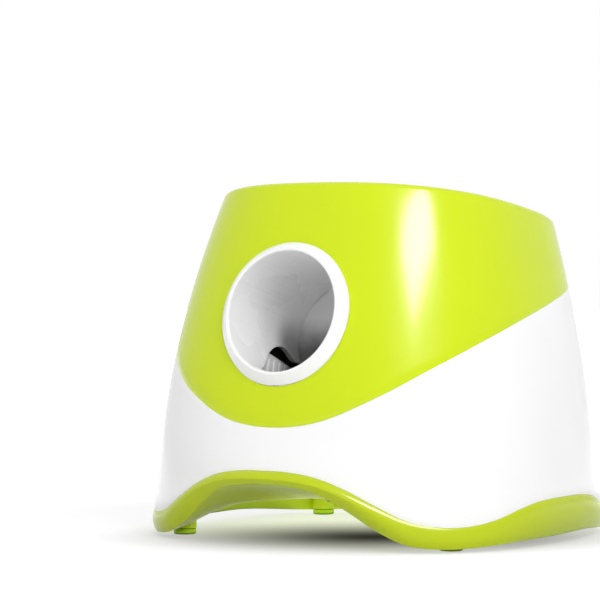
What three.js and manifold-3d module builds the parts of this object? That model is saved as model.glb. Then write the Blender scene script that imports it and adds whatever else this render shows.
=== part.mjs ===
// Automatic ball launcher: a tapered two-shell body on a waved base, with a slanted launch tube,
// a sprung carriage that a geared motor winds back, and a bowl on top that feeds the balls.
// Millimetres, +Z up, front of the body at -Y, origin under the middle on the floor.
import * as THREE from 'three';
import { mergeVertices } from 'three/addons/utils/BufferGeometryUtils.js';
import Module from 'manifold-3d';

const wasm = await Module();
wasm.setup();

// ---------- Named sizes ----------

// Clearances and the overrun that every cut uses
const fit = 0.3;
const threadFit = 0.1;
const runningFit = 0.8;
const overrun = 2;

// Body: widest at the floor, a squared oval in plan
const body = {
  halfWidth: 115.7,
  halfDepth: 112.8,
  rimHeight: 176.8,
  wall: 3,
  centreY: 3.35,
  leanForward: 9.5,
  leanBack: 16.4,
  flare: 5,
  flareTop: 66,
  flareFull: 36,
};
const planPower = 2.5;
const widthTaperShares = [0.064, 0.207];
const depthTaperShares = [0.104, 0.152];
const rimSlope = 0.146;
const flareSpread = 45;

// Height of the green and white seam, every 15 degrees from the front, as shares of the rim height
const seamShares = [0.348, 0.369, 0.438, 0.523, 0.597, 0.652, 0.691, 0.725, 0.751, 0.765, 0.772, 0.775,
  0.776];

// Rim lip and the ledge under it
const rim = { round: 2.2, width: 7, ledgeDrop: 3, ledgeWidth: 3, ledgeThick: 2.5, ledgeTaper: 6 };

// Base: waved band round the foot of the body, floor, scoop under the front arch
const base = {
  archTop: 40,
  ledge: 0.8,
  archLedge: 3,
  bevel: 3,
  lipRound: 2.4,
  lipWidth: 12,
  floorUnder: 20,
  floorThick: 2.5,
  scoopLength: 80,
  upstand: 3,
  upstandWall: 2.4,
};
// Band top, band bottom and lip width every 7.5 degrees from the front
const bandTopShares = [1, 0.99, 0.935, 0.8, 0.6, 0.41, 0.33, 0.33, 0.395, 0.505, 0.58, 0.605, 0.608,
  0.603, 0.57, 0.48, 0.38, 0.33, 0.325, 0.362, 0.463, 0.55, 0.6, 0.615, 0.62];
const bandLowShares = [0.833, 0.81, 0.735, 0.535, 0.28, 0.1, 0.05, 0.055, 0.075, 0.095, 0.105, 0.11, 0.115,
  0.12, 0.12, 0.1, 0.075, 0.055, 0.05, 0.06, 0.08, 0.1, 0.11, 0.115, 0.115];
const lipShares = [0.36, 0.36, 0.4, 0.55, 0.85, 1, 0.9, 0.6, 0.4, 0.33, 0.33, 0.33, 0.33,
  0.33, 0.33, 0.33, 0.36, 0.45, 0.5, 0.45, 0.36, 0.33, 0.33, 0.33, 0.33];
// How much of the band's height the bevel and the bottom round may take, and how the scoop falls away
const shoulderShare = 0.62;
const lipRiseShare = 0.2;
const scoopPower = 1.2;

// Feet: a moulded column with a rubber pad, set in from the widest, front and rear places of the body
const foot = { radius: 6.4, sideInset: 33.7, frontInset: 49.25, rearInset: 35.35, pad: 3 };

// Launch tube and muzzle, in a frame tilted about X with its origin at the muzzle centre
const tube = {
  bore: 64,
  wall: 2.6,
  muzzleY: -95.95,
  muzzleZ: 121,
  start: 1.4,
  length: 148,
  earAlongFront: 22.6,
  earAlongRear: 128,
  earX: 50,
  earLong: 11,
  earThick: 4,
};
const tiltDegrees = 13.7;
const ring = { outer: 77, proud: 4.4, lip: 1, neck: 72.6, neckLength: 12, crown: 0.6 };

// Throat: the drop hole between the bowl and the tube
const throat = { bore: 58, wall: 2.2, setback: 99, bottomZ: 142, neck: 5, collarLap: 2.4 };

// Side windows that the carriage runs in; the front end of each is an arch
const slot = { inner: 15, top: -13.2, bottom: -28, spare: 3.5, archTop: -7.7, archFront: 12, archEnd: 64.5 };
const slotAlongShares = [0, 0.05, 0.25, 0.4, 0.49, 0.62, 0.73, 0.8, 0.88, 0.95, 1];
const slotRiseShares = [0, 0.02, 0.227, 0.473, 0.66, 0.882, 0.98, 1, 0.951, 0.818, 0.729];

// Launch carriage
const carriage = {
  stroke: 58,
  face: 70,
  faceThick: 2.5,
  skirtLength: 54,
  skirtWall: 2.2,
  armFront: 31,
  armInner: 29,
  armOuter: 33,
  armTop: -13.6,
  armLip: 3.7,
  armBevel: 2,
  armFall: 20.5,
  noseLong: 11.5,
  noseHigh: 8.6,
  webInner: 22,
  bridgeTop: -35.6,
  bridgeThick: 3,
  rib: 1.1,
  ribWidth: 2.4,
  ribPitch: 5.2,
  earThick: 4,
};
const armRibs = 5;

// Springs that throw the carriage forward
const spring = { radius: 4, wire: 1.1, x: 39.5, z: -20, frontAlong: 21, hook: 4 };
const springTurns = 8;

// Gear train
const toothAngle = 25 * Math.PI / 180;
const addendumShare = 0.75;
const dedendumShare = 1.05;
const backlash = 0.28;
const winding = {
  module: 1.25,
  along: 96,
  face: 9,
  wheelModule: 1,
  wheelFace: 5,
  wheelX: 6,
  hub: 4.2,
  rackThick: 1.6,
};
const sectorPitches = 22;
const sectorTeeth = 17;
const wheelTeeth = 30;
const reduction = { module: 0.8, drop: 4, face: 3.4, x: 12.6, pinionX: 5.7 };
const reductionTeeth = 42;
const pinionTeeth = 10;
const motorTeeth = 10;
const axle = { radius: 1.5, head: 2.6, headThick: 1.2 };
const gearPlate = { thick: 2, leftX: -9.4, rightX: 18, margin: 7.5, flange: 9, rise: 8 };
const motor = { radius: 12.2, length: 32, drop: 3.5, shaft: 1, boss: 4, capRadius: 9, capThick: 2 };

// Front stop for the carriage
const bumper = { width: 26, thick: 6, high: 3, lug: 3 };

// Battery bay under the rear floor: rows of cells side by side, two cells in each row
const cell = { radius: 7.25, length: 50.5, button: 2.7, buttonLong: 1.2, gap: 0.6 };
const cellRows = 3;
const bay = {
  wall: 1.8,
  centreY: 66.45,
  spare: 3.4,
  flange: 4,
  flangeThick: 1.6,
  contactThick: 0.5,
  contact: 9,
  coil: 2.4,
};
const door = {
  thick: 2.1,
  lap: 3.4,
  barrel: 2,
  barrelLong: 20,
  lugLong: 4,
  pin: 0.9,
  hingeGap: 3.4,
  grip: 16,
  gripHigh: 1.4,
};

// Rear panel with its buttons and lights
const panel = { width: 78, height: 30, z: 98, inset: 0.9, thick: 2.4, lap: 3 };
const button = {
  radius: 6.5,
  proud: 1.6,
  crown: 0.6,
  travel: 1.2,
  flange: 1.2,
  flangeThick: 1,
  spread: 24,
  stem: 1.6,
};
const lamp = { radius: 1.7, pitch: 7.5, proud: 0.3, bar: 2.4 };
const board = {
  thick: 1.6,
  width: 72,
  height: 26,
  behind: 11.5,
  chip: 6,
  chipThick: 1.6,
  switchWide: 6,
  switchHigh: 1.8,
};
const mainBoard = {
  width: 60,
  height: 46,
  y: -7.55,
  setback: 34,
  guide: 2.2,
  guideHigh: 12,
  buzzer: 6,
  buzzerHigh: 7,
};

// Power socket in the rear of the white shell, and its cover
const jack = { turnDegrees: -160, z: 45, size: 11, depth: 12, nose: 5.2, bore: 3.2, boreDeep: 9, pin: 0.9 };
const cover = {
  radius: 7.6,
  thick: 1.8,
  plug: 2.2,
  plugLong: 2,
  strap: 6,
  hingeUp: 10,
  hinge: 1.6,
  pin: 0.9,
  lug: 2.4,
};

// Ball sensor either side of the tube
const sensor = { radius: 2.5, length: 9, along: 103, up: 4, flange: 3.6, flangeThick: 1.2, inset: 0.5 };

// Limit switch beside the winding gear
const limitSwitch = { width: 6, long: 10, high: 10 };

// Screws and the bosses that they run in
const screw = { radius: 1.6, head: 3, headThick: 2.2, length: 14 };
const lug = { radius: 3.8, height: 8, inset: 9, root: 5.8 };
const lugTurns = [62, 165];
const post = { radius: 4.5 };

// Roundness of the meshes
const bodySides = 40;
const tubeSides = 28;
const smallSides = 12;
const screwSides = 8;
const motorSides = 20;

// ---------- Colours ----------

const paint = (colour, roughness, metalness = 0) =>
  new THREE.MeshStandardMaterial({ color: colour, roughness, metalness });
const looks = {
  green: paint(0xb9dc26, 0.3),
  white: paint(0xf4f4f4, 0.25),
  pale: paint(0xd2d3d3, 0.3),
  grey: paint(0x8d9093, 0.5),
  dark: paint(0x2b2d30, 0.55),
  rubber: paint(0x1c1c1e, 0.9),
  steel: paint(0xb8bcc0, 0.35, 1),
  brass: paint(0xc9a24a, 0.35, 1),
  acetal: paint(0xeee9dc, 0.45),
  boardGreen: paint(0x1f6b3a, 0.5),
  lens: paint(0xe9f5ff, 0.15),
  cellWrap: paint(0x3a3f47, 0.4),
};

// ---------- Small tools ----------

const degrees = Math.PI / 180;
const lerp = (a, b, share) => a + (b - a) * share;
const smooth = (share) => {
  const s = Math.min(1, Math.max(0, share));
  return s * s * (3 - 2 * s);
};

// Smooth value from a table of evenly spaced shares, mirrored at both ends
function fromTable(shares, angle) {
  const last = shares.length - 1;
  const spot = Math.min(Math.abs(angle), Math.PI) / Math.PI * last;
  const i = Math.min(Math.floor(spot), last - 1);
  const at = (k) => shares[k < 0 ? -k : k > last ? 2 * last - k : k];
  const f = spot - i;
  const slopeA = (at(i + 1) - at(i - 1)) / 2;
  const slopeB = (at(i + 2) - at(i)) / 2;
  const f2 = f * f;
  const f3 = f2 * f;
  return at(i) * (2 * f3 - 3 * f2 + 1) + slopeA * (f3 - 2 * f2 + f)
    + at(i + 1) * (3 * f2 - 2 * f3) + slopeB * (f3 - f2);
}

// Closed solid from a geometry, ready for joins and cuts
function solid(geometry) {
  const bare = geometry.clone();
  bare.deleteAttribute('normal');
  if (bare.getAttribute('uv')) bare.deleteAttribute('uv');
  const merged = mergeVertices(bare, 1e-4);
  const index = merged.getIndex().array;
  const kept = [];
  for (let i = 0; i < index.length; i += 3) {
    const [a, b, c] = [index[i], index[i + 1], index[i + 2]];
    if (a !== b && b !== c && c !== a) kept.push(a, b, c);
  }
  return new wasm.Manifold(new wasm.Mesh({
    numProp: 3,
    vertProperties: new Float32Array(merged.getAttribute('position').array),
    triVerts: new Uint32Array(kept),
  }));
}

// Back from a solid to a flat-shaded geometry
function geometryOf(body3) {
  const mesh = body3.getMesh();
  const geometry = new THREE.BufferGeometry();
  geometry.setAttribute('position', new THREE.BufferAttribute(new Float32Array(mesh.vertProperties), 3));
  geometry.setIndex(Array.from(mesh.triVerts));
  const flat = geometry.toNonIndexed();
  flat.computeVertexNormals();
  return flat;
}

const join = (first, ...rest) => rest.reduce((sum, next) => sum.add(next), first);
const cut = (first, ...rest) => rest.reduce((sum, next) => sum.subtract(next), first);

// Box between two corners
function block(x0, x1, y0, y1, z0, z1) {
  const geometry = new THREE.BoxGeometry(x1 - x0, y1 - y0, z1 - z0);
  geometry.translate((x0 + x1) / 2, (y0 + y1) / 2, (z0 + z1) / 2);
  return solid(geometry);
}

// Turned piece: outline of [radius, along] pairs, closed on itself or ending on the axis, along X, Y or Z
function turned(outline, axis, centre = [0, 0, 0], sides = smallSides) {
  const geometry = new THREE.LatheGeometry(outline.map(([r, a]) => new THREE.Vector2(r, a)), sides);
  if (axis === 'x') geometry.rotateZ(-Math.PI / 2);
  if (axis === 'z') geometry.rotateX(Math.PI / 2);
  geometry.translate(...centre);
  const made = solid(geometry);
  return made.volume() < 0 ? solid(flipped(geometry)) : made;
}

// The same geometry with its faces turned round
function flipped(geometry) {
  const copy = geometry.clone();
  const index = copy.getIndex();
  for (let i = 0; i < index.count; i += 3) {
    const a = index.getX(i);
    index.setX(i, index.getX(i + 1));
    index.setX(i + 1, a);
  }
  return copy;
}

// Plain round bar from one place to another along an axis
const rod = (radius, from, to, axis, centre = [0, 0, 0], sides = smallSides) =>
  turned([[0, from], [radius, from], [radius, to], [0, to]], axis, centre, sides);

// Flat outline in the Y-Z plane carried along X from x0 to x1
function sidePrism(points, x0, x1, holes = []) {
  const shape = new THREE.Shape(points.map(([y, z]) => new THREE.Vector2(y, z)));
  for (const hole of holes) shape.holes.push(new THREE.Path(hole.map(([y, z]) => new THREE.Vector2(y, z))));
  const geometry = new THREE.ExtrudeGeometry(shape, { depth: x1 - x0, bevelEnabled: false, steps: 1 });
  geometry.applyMatrix4(new THREE.Matrix4().set(0, 0, 1, x0, 1, 0, 0, 0, 0, 1, 0, 0, 0, 0, 0, 1));
  return solid(geometry);
}

// Flat outline in the X-Z plane carried along Y from y0 to y1
function frontPrism(points, y0, y1) {
  const shape = new THREE.Shape(points.map(([x, z]) => new THREE.Vector2(x, z)));
  const geometry = new THREE.ExtrudeGeometry(shape, { depth: y1 - y0, bevelEnabled: false, steps: 1 });
  geometry.applyMatrix4(new THREE.Matrix4().set(1, 0, 0, 0, 0, 0, -1, y1, 0, 1, 0, 0, 0, 0, 0, 1));
  return solid(geometry);
}

// Points of a circle
const circle = (radius, y, z, sides = smallSides) => Array.from({ length: sides }, (_, i) => {
  const a = 2 * Math.PI * i / sides;
  return [y + radius * Math.cos(a), z + radius * Math.sin(a)];
});

// Outline stretched round a set of points
function hull(points) {
  const sorted = [...points].sort((p, q) => p[0] - q[0] || p[1] - q[1]);
  const half = (list) => {
    const chain = [];
    for (const p of list) {
      while (chain.length > 1) {
        const [a, b] = chain.slice(-2);
        if ((b[0] - a[0]) * (p[1] - a[1]) - (b[1] - a[1]) * (p[0] - a[0]) > 0) break;
        chain.pop();
      }
      chain.push(p);
    }
    return chain.slice(0, -1);
  };
  return [...half(sorted), ...half(sorted.reverse())];
}

const product = new THREE.Group();

// Adds a named piece to a group
function piece(name, made, look, group = product) {
  const mesh = new THREE.Mesh(made instanceof THREE.BufferGeometry ? made : geometryOf(made), look);
  mesh.name = name;
  group.add(mesh);
  return mesh;
}

// ---------- Body surface ----------

// Half width, half depth and middle of the body at a height
function bodySection(z) {
  const t = z / body.rimHeight;
  return {
    halfX: body.halfWidth * (1 - widthTaperShares[0] * t - widthTaperShares[1] * t * t),
    halfY: body.halfDepth * (1 - depthTaperShares[0] * t - depthTaperShares[1] * t * t),
    midY: body.centreY - body.leanForward * t + body.leanBack * t * t,
  };
}

const powered = (value) => Math.sign(value) * Math.abs(value) ** (2 / planPower);

// Angle round the plan from the front for a turn of the squared oval
const planAngle = (turn) =>
  Math.atan2(body.halfWidth * powered(Math.sin(turn)), body.halfDepth * powered(Math.cos(turn)));

// Forward flare of the skin over the front arch
function flareAt(turn, z, inset) {
  const spread = Math.abs(planAngle(turn)) / (flareSpread * degrees);
  const side = spread < 1 ? Math.cos(spread * Math.PI / 2) ** 2 : 0;
  const down = smooth((body.flareTop - z) / (body.flareTop - body.flareFull));
  return body.flare * side * down * Math.max(0, 1 - Math.max(0, inset) / (base.scoopLength / 2));
}

// Point of the skin, moved in by an inset
function skinPoint(turn, z, inset) {
  const { halfX, halfY, midY } = bodySection(z);
  return [
    Math.max(0, halfX - inset) * powered(Math.sin(turn)),
    midY - Math.max(0, halfY - inset) * powered(Math.cos(turn)) - flareAt(turn, z, inset),
    z,
  ];
}

const seamHeight = (turn) => body.rimHeight * fromTable(seamShares, planAngle(turn));
const bandTop = (turn) => base.archTop * fromTable(bandTopShares, planAngle(turn));
const bandLow = (turn) => base.archTop * fromTable(bandLowShares, planAngle(turn));
const lipWidth = (turn) => base.lipWidth * fromTable(lipShares, planAngle(turn));

// Height of the rim plane, which slopes down to the back
const rimAt = (y) => body.rimHeight - rimSlope * (y - body.centreY);
function rimHeight(turn, inset) {
  let z = body.rimHeight;
  for (let i = 0; i < 6; i += 1) z = rimAt(skinPoint(turn, z, inset)[1]);
  return z;
}

// Skin-like solid: stations(turn) gives the points of a closed outline at each turn
function wrapped(stations, closed = true, sides = bodySides) {
  const sample = stations(0);
  const count = closed ? sample.length + 1 : sample.length;
  const dummy = Array.from({ length: count }, (_, i) => new THREE.Vector2(1, i % sample.length));
  const geometry = new THREE.LatheGeometry(dummy, sides);
  const position = geometry.getAttribute('position');
  for (let i = 0; i <= sides; i += 1) {
    const points = stations(2 * Math.PI * (i % sides) / sides);
    for (let j = 0; j < count; j += 1) position.setXYZ(i * count + j, ...points[j % points.length]);
  }
  const made = solid(geometry);
  return made.volume() < 0 ? solid(flipped(geometry)) : made;
}

// Whole body as one block, grown by an amount
function bodyBlock(grow) {
  const levels = 8;
  return wrapped((turn) => {
    const points = [[0, body.centreY, 0]];
    for (let k = 0; k <= levels; k += 1) {
      const z = (body.rimHeight + base.archTop) * k / levels;
      points.push(skinPoint(turn, z, -grow));
    }
    points.push([0, body.centreY, body.rimHeight + base.archTop]);
    return points;
  }, false);
}

// ---------- Launch frame ----------

const tilt = tiltDegrees * degrees;
const launch = new THREE.Group();
launch.position.set(0, tube.muzzleY, tube.muzzleZ);
launch.rotation.x = -tilt;
product.add(launch);

// From the launch frame (along, up) to the body frame (y, z)
const toBody = (along, up) => [
  tube.muzzleY + along * Math.cos(tilt) + up * Math.sin(tilt),
  tube.muzzleZ - along * Math.sin(tilt) + up * Math.cos(tilt),
];

// A solid made in the launch frame, moved into the body frame
const launchMatrix = new THREE.Matrix4().makeRotationX(-tilt).setPosition(0, tube.muzzleY, tube.muzzleZ);
const inBody = (made) => solid(geometryOf(made).applyMatrix4(launchMatrix));
const inLaunch = (made) => solid(geometryOf(made).applyMatrix4(launchMatrix.clone().invert()));

const boreRadius = tube.bore / 2;
const tubeRadius = boreRadius + tube.wall;
const neckRadius = ring.neck / 2;
const throatY = tube.muzzleY + throat.setback;
const throatRadius = throat.bore / 2;
const floorTop = base.floorUnder + base.floorThick;

// ---------- Shells ----------

// Green upper shell, from the seam to the rim
const upperLevels = [0, 0.3, 0.6, 0.88];
let upperShell = wrapped((turn) => {
  const low = seamHeight(turn) + fit / 2;
  const top = rimHeight(turn, 0);
  const points = [];
  for (const share of upperLevels) {
    points.push(skinPoint(turn, lerp(low, top - rim.round, share), 0));
  }
  for (const step of [0, 0.4, 0.75, 1]) {
    const a = step * Math.PI / 2;
    const inset = rim.round * (1 - Math.cos(a));
    points.push(skinPoint(turn, top - rim.round * (1 - Math.sin(a)), inset));
  }
  points.push(skinPoint(turn, top, rim.width));
  points.push(skinPoint(turn, top - rim.ledgeDrop, rim.width));
  points.push(skinPoint(turn, top - rim.ledgeDrop, rim.width + rim.ledgeWidth));
  points.push(skinPoint(turn, top - rim.ledgeDrop - rim.ledgeThick, rim.width + rim.ledgeWidth));
  const inner = top - rim.ledgeDrop - rim.ledgeThick - rim.ledgeTaper;
  for (const share of [1, 0.5, 0]) points.push(skinPoint(turn, lerp(low, inner, share), body.wall));
  return points;
});
const muzzleHole = inBody(rod(neckRadius + fit, -ring.neckLength, ring.neckLength + rim.width, 'y', [0, 0, 0],
  tubeSides));
upperShell = cut(upperShell, muzzleHole);

// White lower shell, from the band to the seam
let lowerShell = wrapped((turn) => {
  const low = bandTop(turn) + fit;
  const top = seamHeight(turn) - fit / 2;
  const points = [];
  for (const share of [0, 0.33, 0.66, 1]) points.push(skinPoint(turn, lerp(low, top, share), 0));
  for (const share of [1, 0.55, 0.2, 0]) points.push(skinPoint(turn, lerp(low, top, share), body.wall));
  return points;
});

// ---------- Base ----------

// Underside height at an inset: flat at the sides, rising to the lip under the front arch
function undersideZ(turn, inset) {
  const rise = Math.max(0, bandLow(turn) - base.floorUnder);
  return base.floorUnder + rise * (1 - smooth(inset / base.scoopLength)) ** scoopPower;
}
const floorInsetShares = [0.3, 0.6, 1];
let baseTray = wrapped((turn) => {
  const top = bandTop(turn);
  const low = bandLow(turn);
  const high = top - low;
  const spread = Math.min(1, Math.abs(planAngle(turn)) / (flareSpread * degrees));
  const front = Math.cos(spread * Math.PI / 2) ** 2;
  const ledge = lerp(base.ledge, base.archLedge, front);
  const shoulder = top - Math.min(base.bevel, high * shoulderShare);
  const lipTop = low + Math.min(base.lipRound, high * lipRiseShare);
  const lip = lipWidth(turn);
  const rimTop = Math.max(top, floorTop) + base.upstand;
  const upstandOut = body.wall + runningFit;
  const upstandIn = upstandOut + base.upstandWall;
  const points = [
    [0, body.centreY, base.floorUnder],
  ];
  for (const share of [...floorInsetShares].reverse()) {
    const inset = base.scoopLength * share;
    points.push(skinPoint(turn, undersideZ(turn, inset), inset));
  }
  points.push(skinPoint(turn, undersideZ(turn, lip + base.bevel / 2), lip + base.bevel / 2));
  points.push(skinPoint(turn, low, lip));
  points.push(skinPoint(turn, low, base.lipRound));
  points.push(skinPoint(turn, lipTop, base.ledge - ledge));
  points.push(skinPoint(turn, shoulder, -ledge));
  points.push(skinPoint(turn, top, 0));
  points.push(skinPoint(turn, top, upstandOut));
  points.push(skinPoint(turn, rimTop, upstandOut));
  points.push(skinPoint(turn, rimTop, upstandIn));
  points.push(skinPoint(turn, undersideZ(turn, lip + base.bevel / 2) + base.floorThick, upstandIn));
  for (const share of floorInsetShares) {
    const inset = base.scoopLength * share;
    points.push(skinPoint(turn, undersideZ(turn, inset) + base.floorThick, inset));
  }
  points.push([0, body.centreY, floorTop]);
  return points;
}, false);

// Column, screw places and posts on the floor
const floorMiddle = base.floorUnder + base.floorThick / 2;
const footX = body.halfWidth - foot.sideInset;
const footPlaces = [foot.frontInset - body.halfDepth, body.halfDepth - foot.rearInset]
  .flatMap((y) => [[-footX, y], [footX, y]]);
for (const [x, y] of footPlaces) {
  baseTray = cut(baseTray, rod(foot.radius, -overrun, foot.pad + fit, 'z', [x, y, 0]));
  baseTray = join(baseTray, rod(foot.radius, foot.pad + fit, floorMiddle, 'z', [x, y, 0]));
}
const lugPlaces = lugTurns.flatMap((turn) => [-turn, turn]).map((turn) => {
  const at = (inset) => skinPoint(turn * degrees, floorTop + base.upstand, inset);
  const low = Math.max(floorTop, bandTop(turn * degrees)) + base.upstand + runningFit;
  return { low, centre: at(lug.inset), root: at(lug.root) };
});
for (const { low, centre } of lugPlaces) {
  baseTray = join(baseTray, rod(post.radius, floorMiddle, low - fit, 'z', [centre[0], centre[1], 0]));
}
const earUnder = -tube.earThick;
const earPlaces = [tube.earAlongFront, tube.earAlongRear].flatMap((along) =>
  [-tube.earX, tube.earX].map((x) => {
    const [y, z] = toBody(along, earUnder);
    return { x, along, y, z };
  }));
const aboveEars = inBody(block(-body.halfWidth, body.halfWidth, -tube.length, tube.length * 2, earUnder - fit,
  body.rimHeight));
for (const { x, y, z } of earPlaces) {
  const standing = rod(post.radius, floorTop - base.floorThick / 2, z + tube.earLong, 'z', [x, y, 0]);
  baseTray = join(baseTray, cut(standing, aboveEars));
}

// Battery bay sizes
const cellPitch = 2 * cell.radius + cell.gap;
const bayInnerX = cell.length + bay.spare;
const bayInnerY = (cellRows * cellPitch + cell.gap) / 2;
const bayX = bayInnerX + bay.wall;
const bayY = bayInnerY + bay.wall;
const cellZ = base.floorUnder + fit + cell.radius;
const bayTopIn = cellZ + cell.radius + fit;
baseTray = cut(baseTray, block(-bayX - fit, bayX + fit, bay.centreY - bayY - fit, bay.centreY + bayY + fit,
  base.floorUnder - overrun - fit, floorTop + overrun));

// Door hinge lugs under the floor
const doorBack = bay.centreY + bayY + door.hingeGap;
const doorHingeZ = base.floorUnder - fit - door.barrel;
const doorAxis = [0, doorBack, doorHingeZ];
for (const side of [-1, 1]) {
  const near = side * (door.barrelLong / 2 + fit);
  const far = side * (door.barrelLong / 2 + fit + door.lugLong);
  const [x0, x1] = [Math.min(near, far), Math.max(near, far)];
  baseTray = join(
    baseTray,
    block(x0, x1, doorBack - door.barrel, doorBack + door.barrel, doorHingeZ, floorMiddle),
    rod(door.barrel, x0, x1, 'x', doorAxis),
  );
}
const pinHalf = door.barrelLong / 2 + fit + door.lugLong;
baseTray = cut(baseTray, rod(door.pin + fit / 2, -pinHalf - fit, pinHalf + fit, 'x', doorAxis));

// Guides that hold the main board upright at the left of the bay
const boardX = -mainBoard.setback - tubeRadius;
const boardY = [mainBoard.y - mainBoard.width / 2, mainBoard.y + mainBoard.width / 2];
for (const y of boardY) {
  const guide = block(boardX - mainBoard.guide, boardX + board.thick + mainBoard.guide, y - mainBoard.guide,
    y + mainBoard.guide, floorTop - base.floorThick / 2, floorTop + mainBoard.guideHigh);
  baseTray = join(baseTray, guide);
}
baseTray = cut(baseTray, block(boardX - fit, boardX + board.thick + fit, boardY[0] - fit, boardY[1] + fit,
  floorTop + fit, floorTop + mainBoard.guideHigh + overrun));

// Screw holes through the floor
for (const { low, centre: [x, y] } of lugPlaces) {
  baseTray = cut(
    baseTray,
    rod(screw.radius + fit, base.floorUnder - overrun, low + overrun, 'z', [x, y, 0], screwSides),
    rod(screw.head + fit, base.floorUnder - screw.length, base.floorUnder, 'z', [x, y, 0]),
  );
}

// Lugs inside the white shell that the base screws enter
const lugStack = ({ centre, root }, low, high) => join(
  rod(lug.radius, low, high, 'z', [centre[0], centre[1], 0]),
  rod(lug.radius, low, high, 'z', [root[0], root[1], 0]),
);
const screwHole = ({ centre }, radius, low, high) =>
  rod(radius, low - overrun, high + overrun, 'z', [centre[0], centre[1], 0], screwSides);
for (const place of lugPlaces) {
  const high = place.low + lug.height;
  const hole = screwHole(place, screw.radius + threadFit, place.low, high);
  lowerShell = cut(join(lowerShell, lugStack(place, place.low, high)), hole);
}

// Seam lugs at the middle of the front and the back, where the seam runs level
const seamLugs = [0, Math.PI].map((turn) => {
  const z = seamHeight(turn);
  return { z, centre: skinPoint(turn, z, lug.inset), root: skinPoint(turn, z, lug.root) };
});
for (const place of seamLugs) {
  const low = place.z - lug.height;
  const high = place.z + lug.height;
  const wide = screwHole(place, screw.radius + fit, low, high);
  const tight = screwHole(place, screw.radius + threadFit, low, high);
  lowerShell = cut(join(lowerShell, lugStack(place, low, place.z - fit)), wide);
  upperShell = cut(join(upperShell, lugStack(place, place.z + fit, high)), tight);
}

// ---------- Rear panel ----------

// Y of the rear skin at a place, moved in by an inset
function rearY(x, z, inset) {
  const { halfX, halfY, midY } = bodySection(z);
  const across = Math.abs(x) / (halfX - inset);
  return midY + (halfY - inset) * (1 - across ** planPower) ** (1 / planPower);
}
const [panelLow, panelHigh] = [panel.z - panel.height / 2, panel.z + panel.height / 2];
const panelLean = Math.atan((rearY(0, panelLow, 0) - rearY(0, panelHigh, 0)) / panel.height);
const panelFrame = new THREE.Matrix4().makeRotationX(panelLean).setPosition(0, rearY(0, panel.z, 0), panel.z);
const inPanel = (made) => solid(geometryOf(made).applyMatrix4(panelFrame));
const windowBox = (grow) => block(-panel.width / 2 - grow, panel.width / 2 + grow, 0, body.halfDepth * 2,
  panelLow - grow, panelHigh + grow);
lowerShell = cut(lowerShell, windowBox(0));
const panelBack = body.wall + fit + panel.thick / 2;
let controlPanel = bodyBlock(-panel.inset).intersect(windowBox(-fit));
controlPanel = join(controlPanel, bodyBlock(-body.wall - fit).intersect(windowBox(panel.lap)));
controlPanel = cut(controlPanel, bodyBlock(-panelBack));

// How far a place on the panel's outer face lies behind the frame's origin
const panelDrop = (x) => rearY(0, panel.z, 0) - rearY(x, panel.z, panel.inset);
const buttons = [['power_button', -button.spread], ['distance_button', button.spread]];
const lampPlaces = [-lamp.pitch, 0, lamp.pitch];
const panelHoles = [
  ...buttons.map(([, x]) => [x, button.radius]),
  ...lampPlaces.map((x) => [x, lamp.radius]),
];
for (const [x, radius] of panelHoles) {
  const hole = rod(radius + fit, -board.behind, overrun, 'y', [x, 0, 0]);
  controlPanel = cut(controlPanel, inPanel(hole));
}
const boardFront = -board.behind;
for (const [sx, sz] of [[-1, -1], [1, -1], [-1, 1], [1, 1]]) {
  const x = sx * (board.width / 2 - screw.head);
  const z = sz * (board.height / 2 - screw.head);
  const standoff = rod(screw.head / 2, boardFront + fit, -panelDrop(x) - panel.thick, 'y', [x, 0, z]);
  controlPanel = join(controlPanel, inPanel(standoff));
}

const panelGroup = new THREE.Group();
panelGroup.position.set(0, rearY(0, panel.z, 0), panel.z);
panelGroup.rotation.x = panelLean;
product.add(panelGroup);
for (const [name, x] of buttons) {
  const face = -panelDrop(x);
  const flangeDrop = panelDrop(Math.abs(x) + button.radius + button.flange);
  const back = panel.inset - panelBack - flangeDrop - fit * 2;
  const stemEnd = boardFront + board.switchHigh + button.travel + fit;
  piece(name, turned([
    [0, face + button.proud],
    [button.radius - button.crown, face + button.proud],
    [button.radius, face + button.proud - button.crown],
    [button.radius, back],
    [button.radius + button.flange, back],
    [button.radius + button.flange, back - button.flangeThick],
    [button.stem, back - button.flangeThick],
    [button.stem, stemEnd],
    [0, stemEnd],
  ], 'y', [x, 0, 0]), looks.grey, panelGroup);
}
const lamps = lampPlaces.map((x) =>
  rod(lamp.radius, boardFront + fit, lamp.proud - panelDrop(x), 'y', [x, 0, 0]));
const lampBar = block(-lamp.pitch, lamp.pitch, boardFront + fit, boardFront + lamp.bar, -lamp.radius / 2,
  lamp.radius / 2);
piece('indicator_lenses', join(lampBar, ...lamps), looks.lens, panelGroup);
let buttonBoard = block(-board.width / 2, board.width / 2, boardFront - board.thick, boardFront,
  -board.height / 2, board.height / 2);
for (const [, x] of buttons) {
  const half = board.switchWide / 2;
  buttonBoard = join(buttonBoard, block(x - half, x + half, boardFront - board.thick / 2,
    boardFront + board.switchHigh, -half, half));
}
piece('button_board', buttonBoard, looks.boardGreen, panelGroup);

// ---------- Power socket ----------

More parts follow.
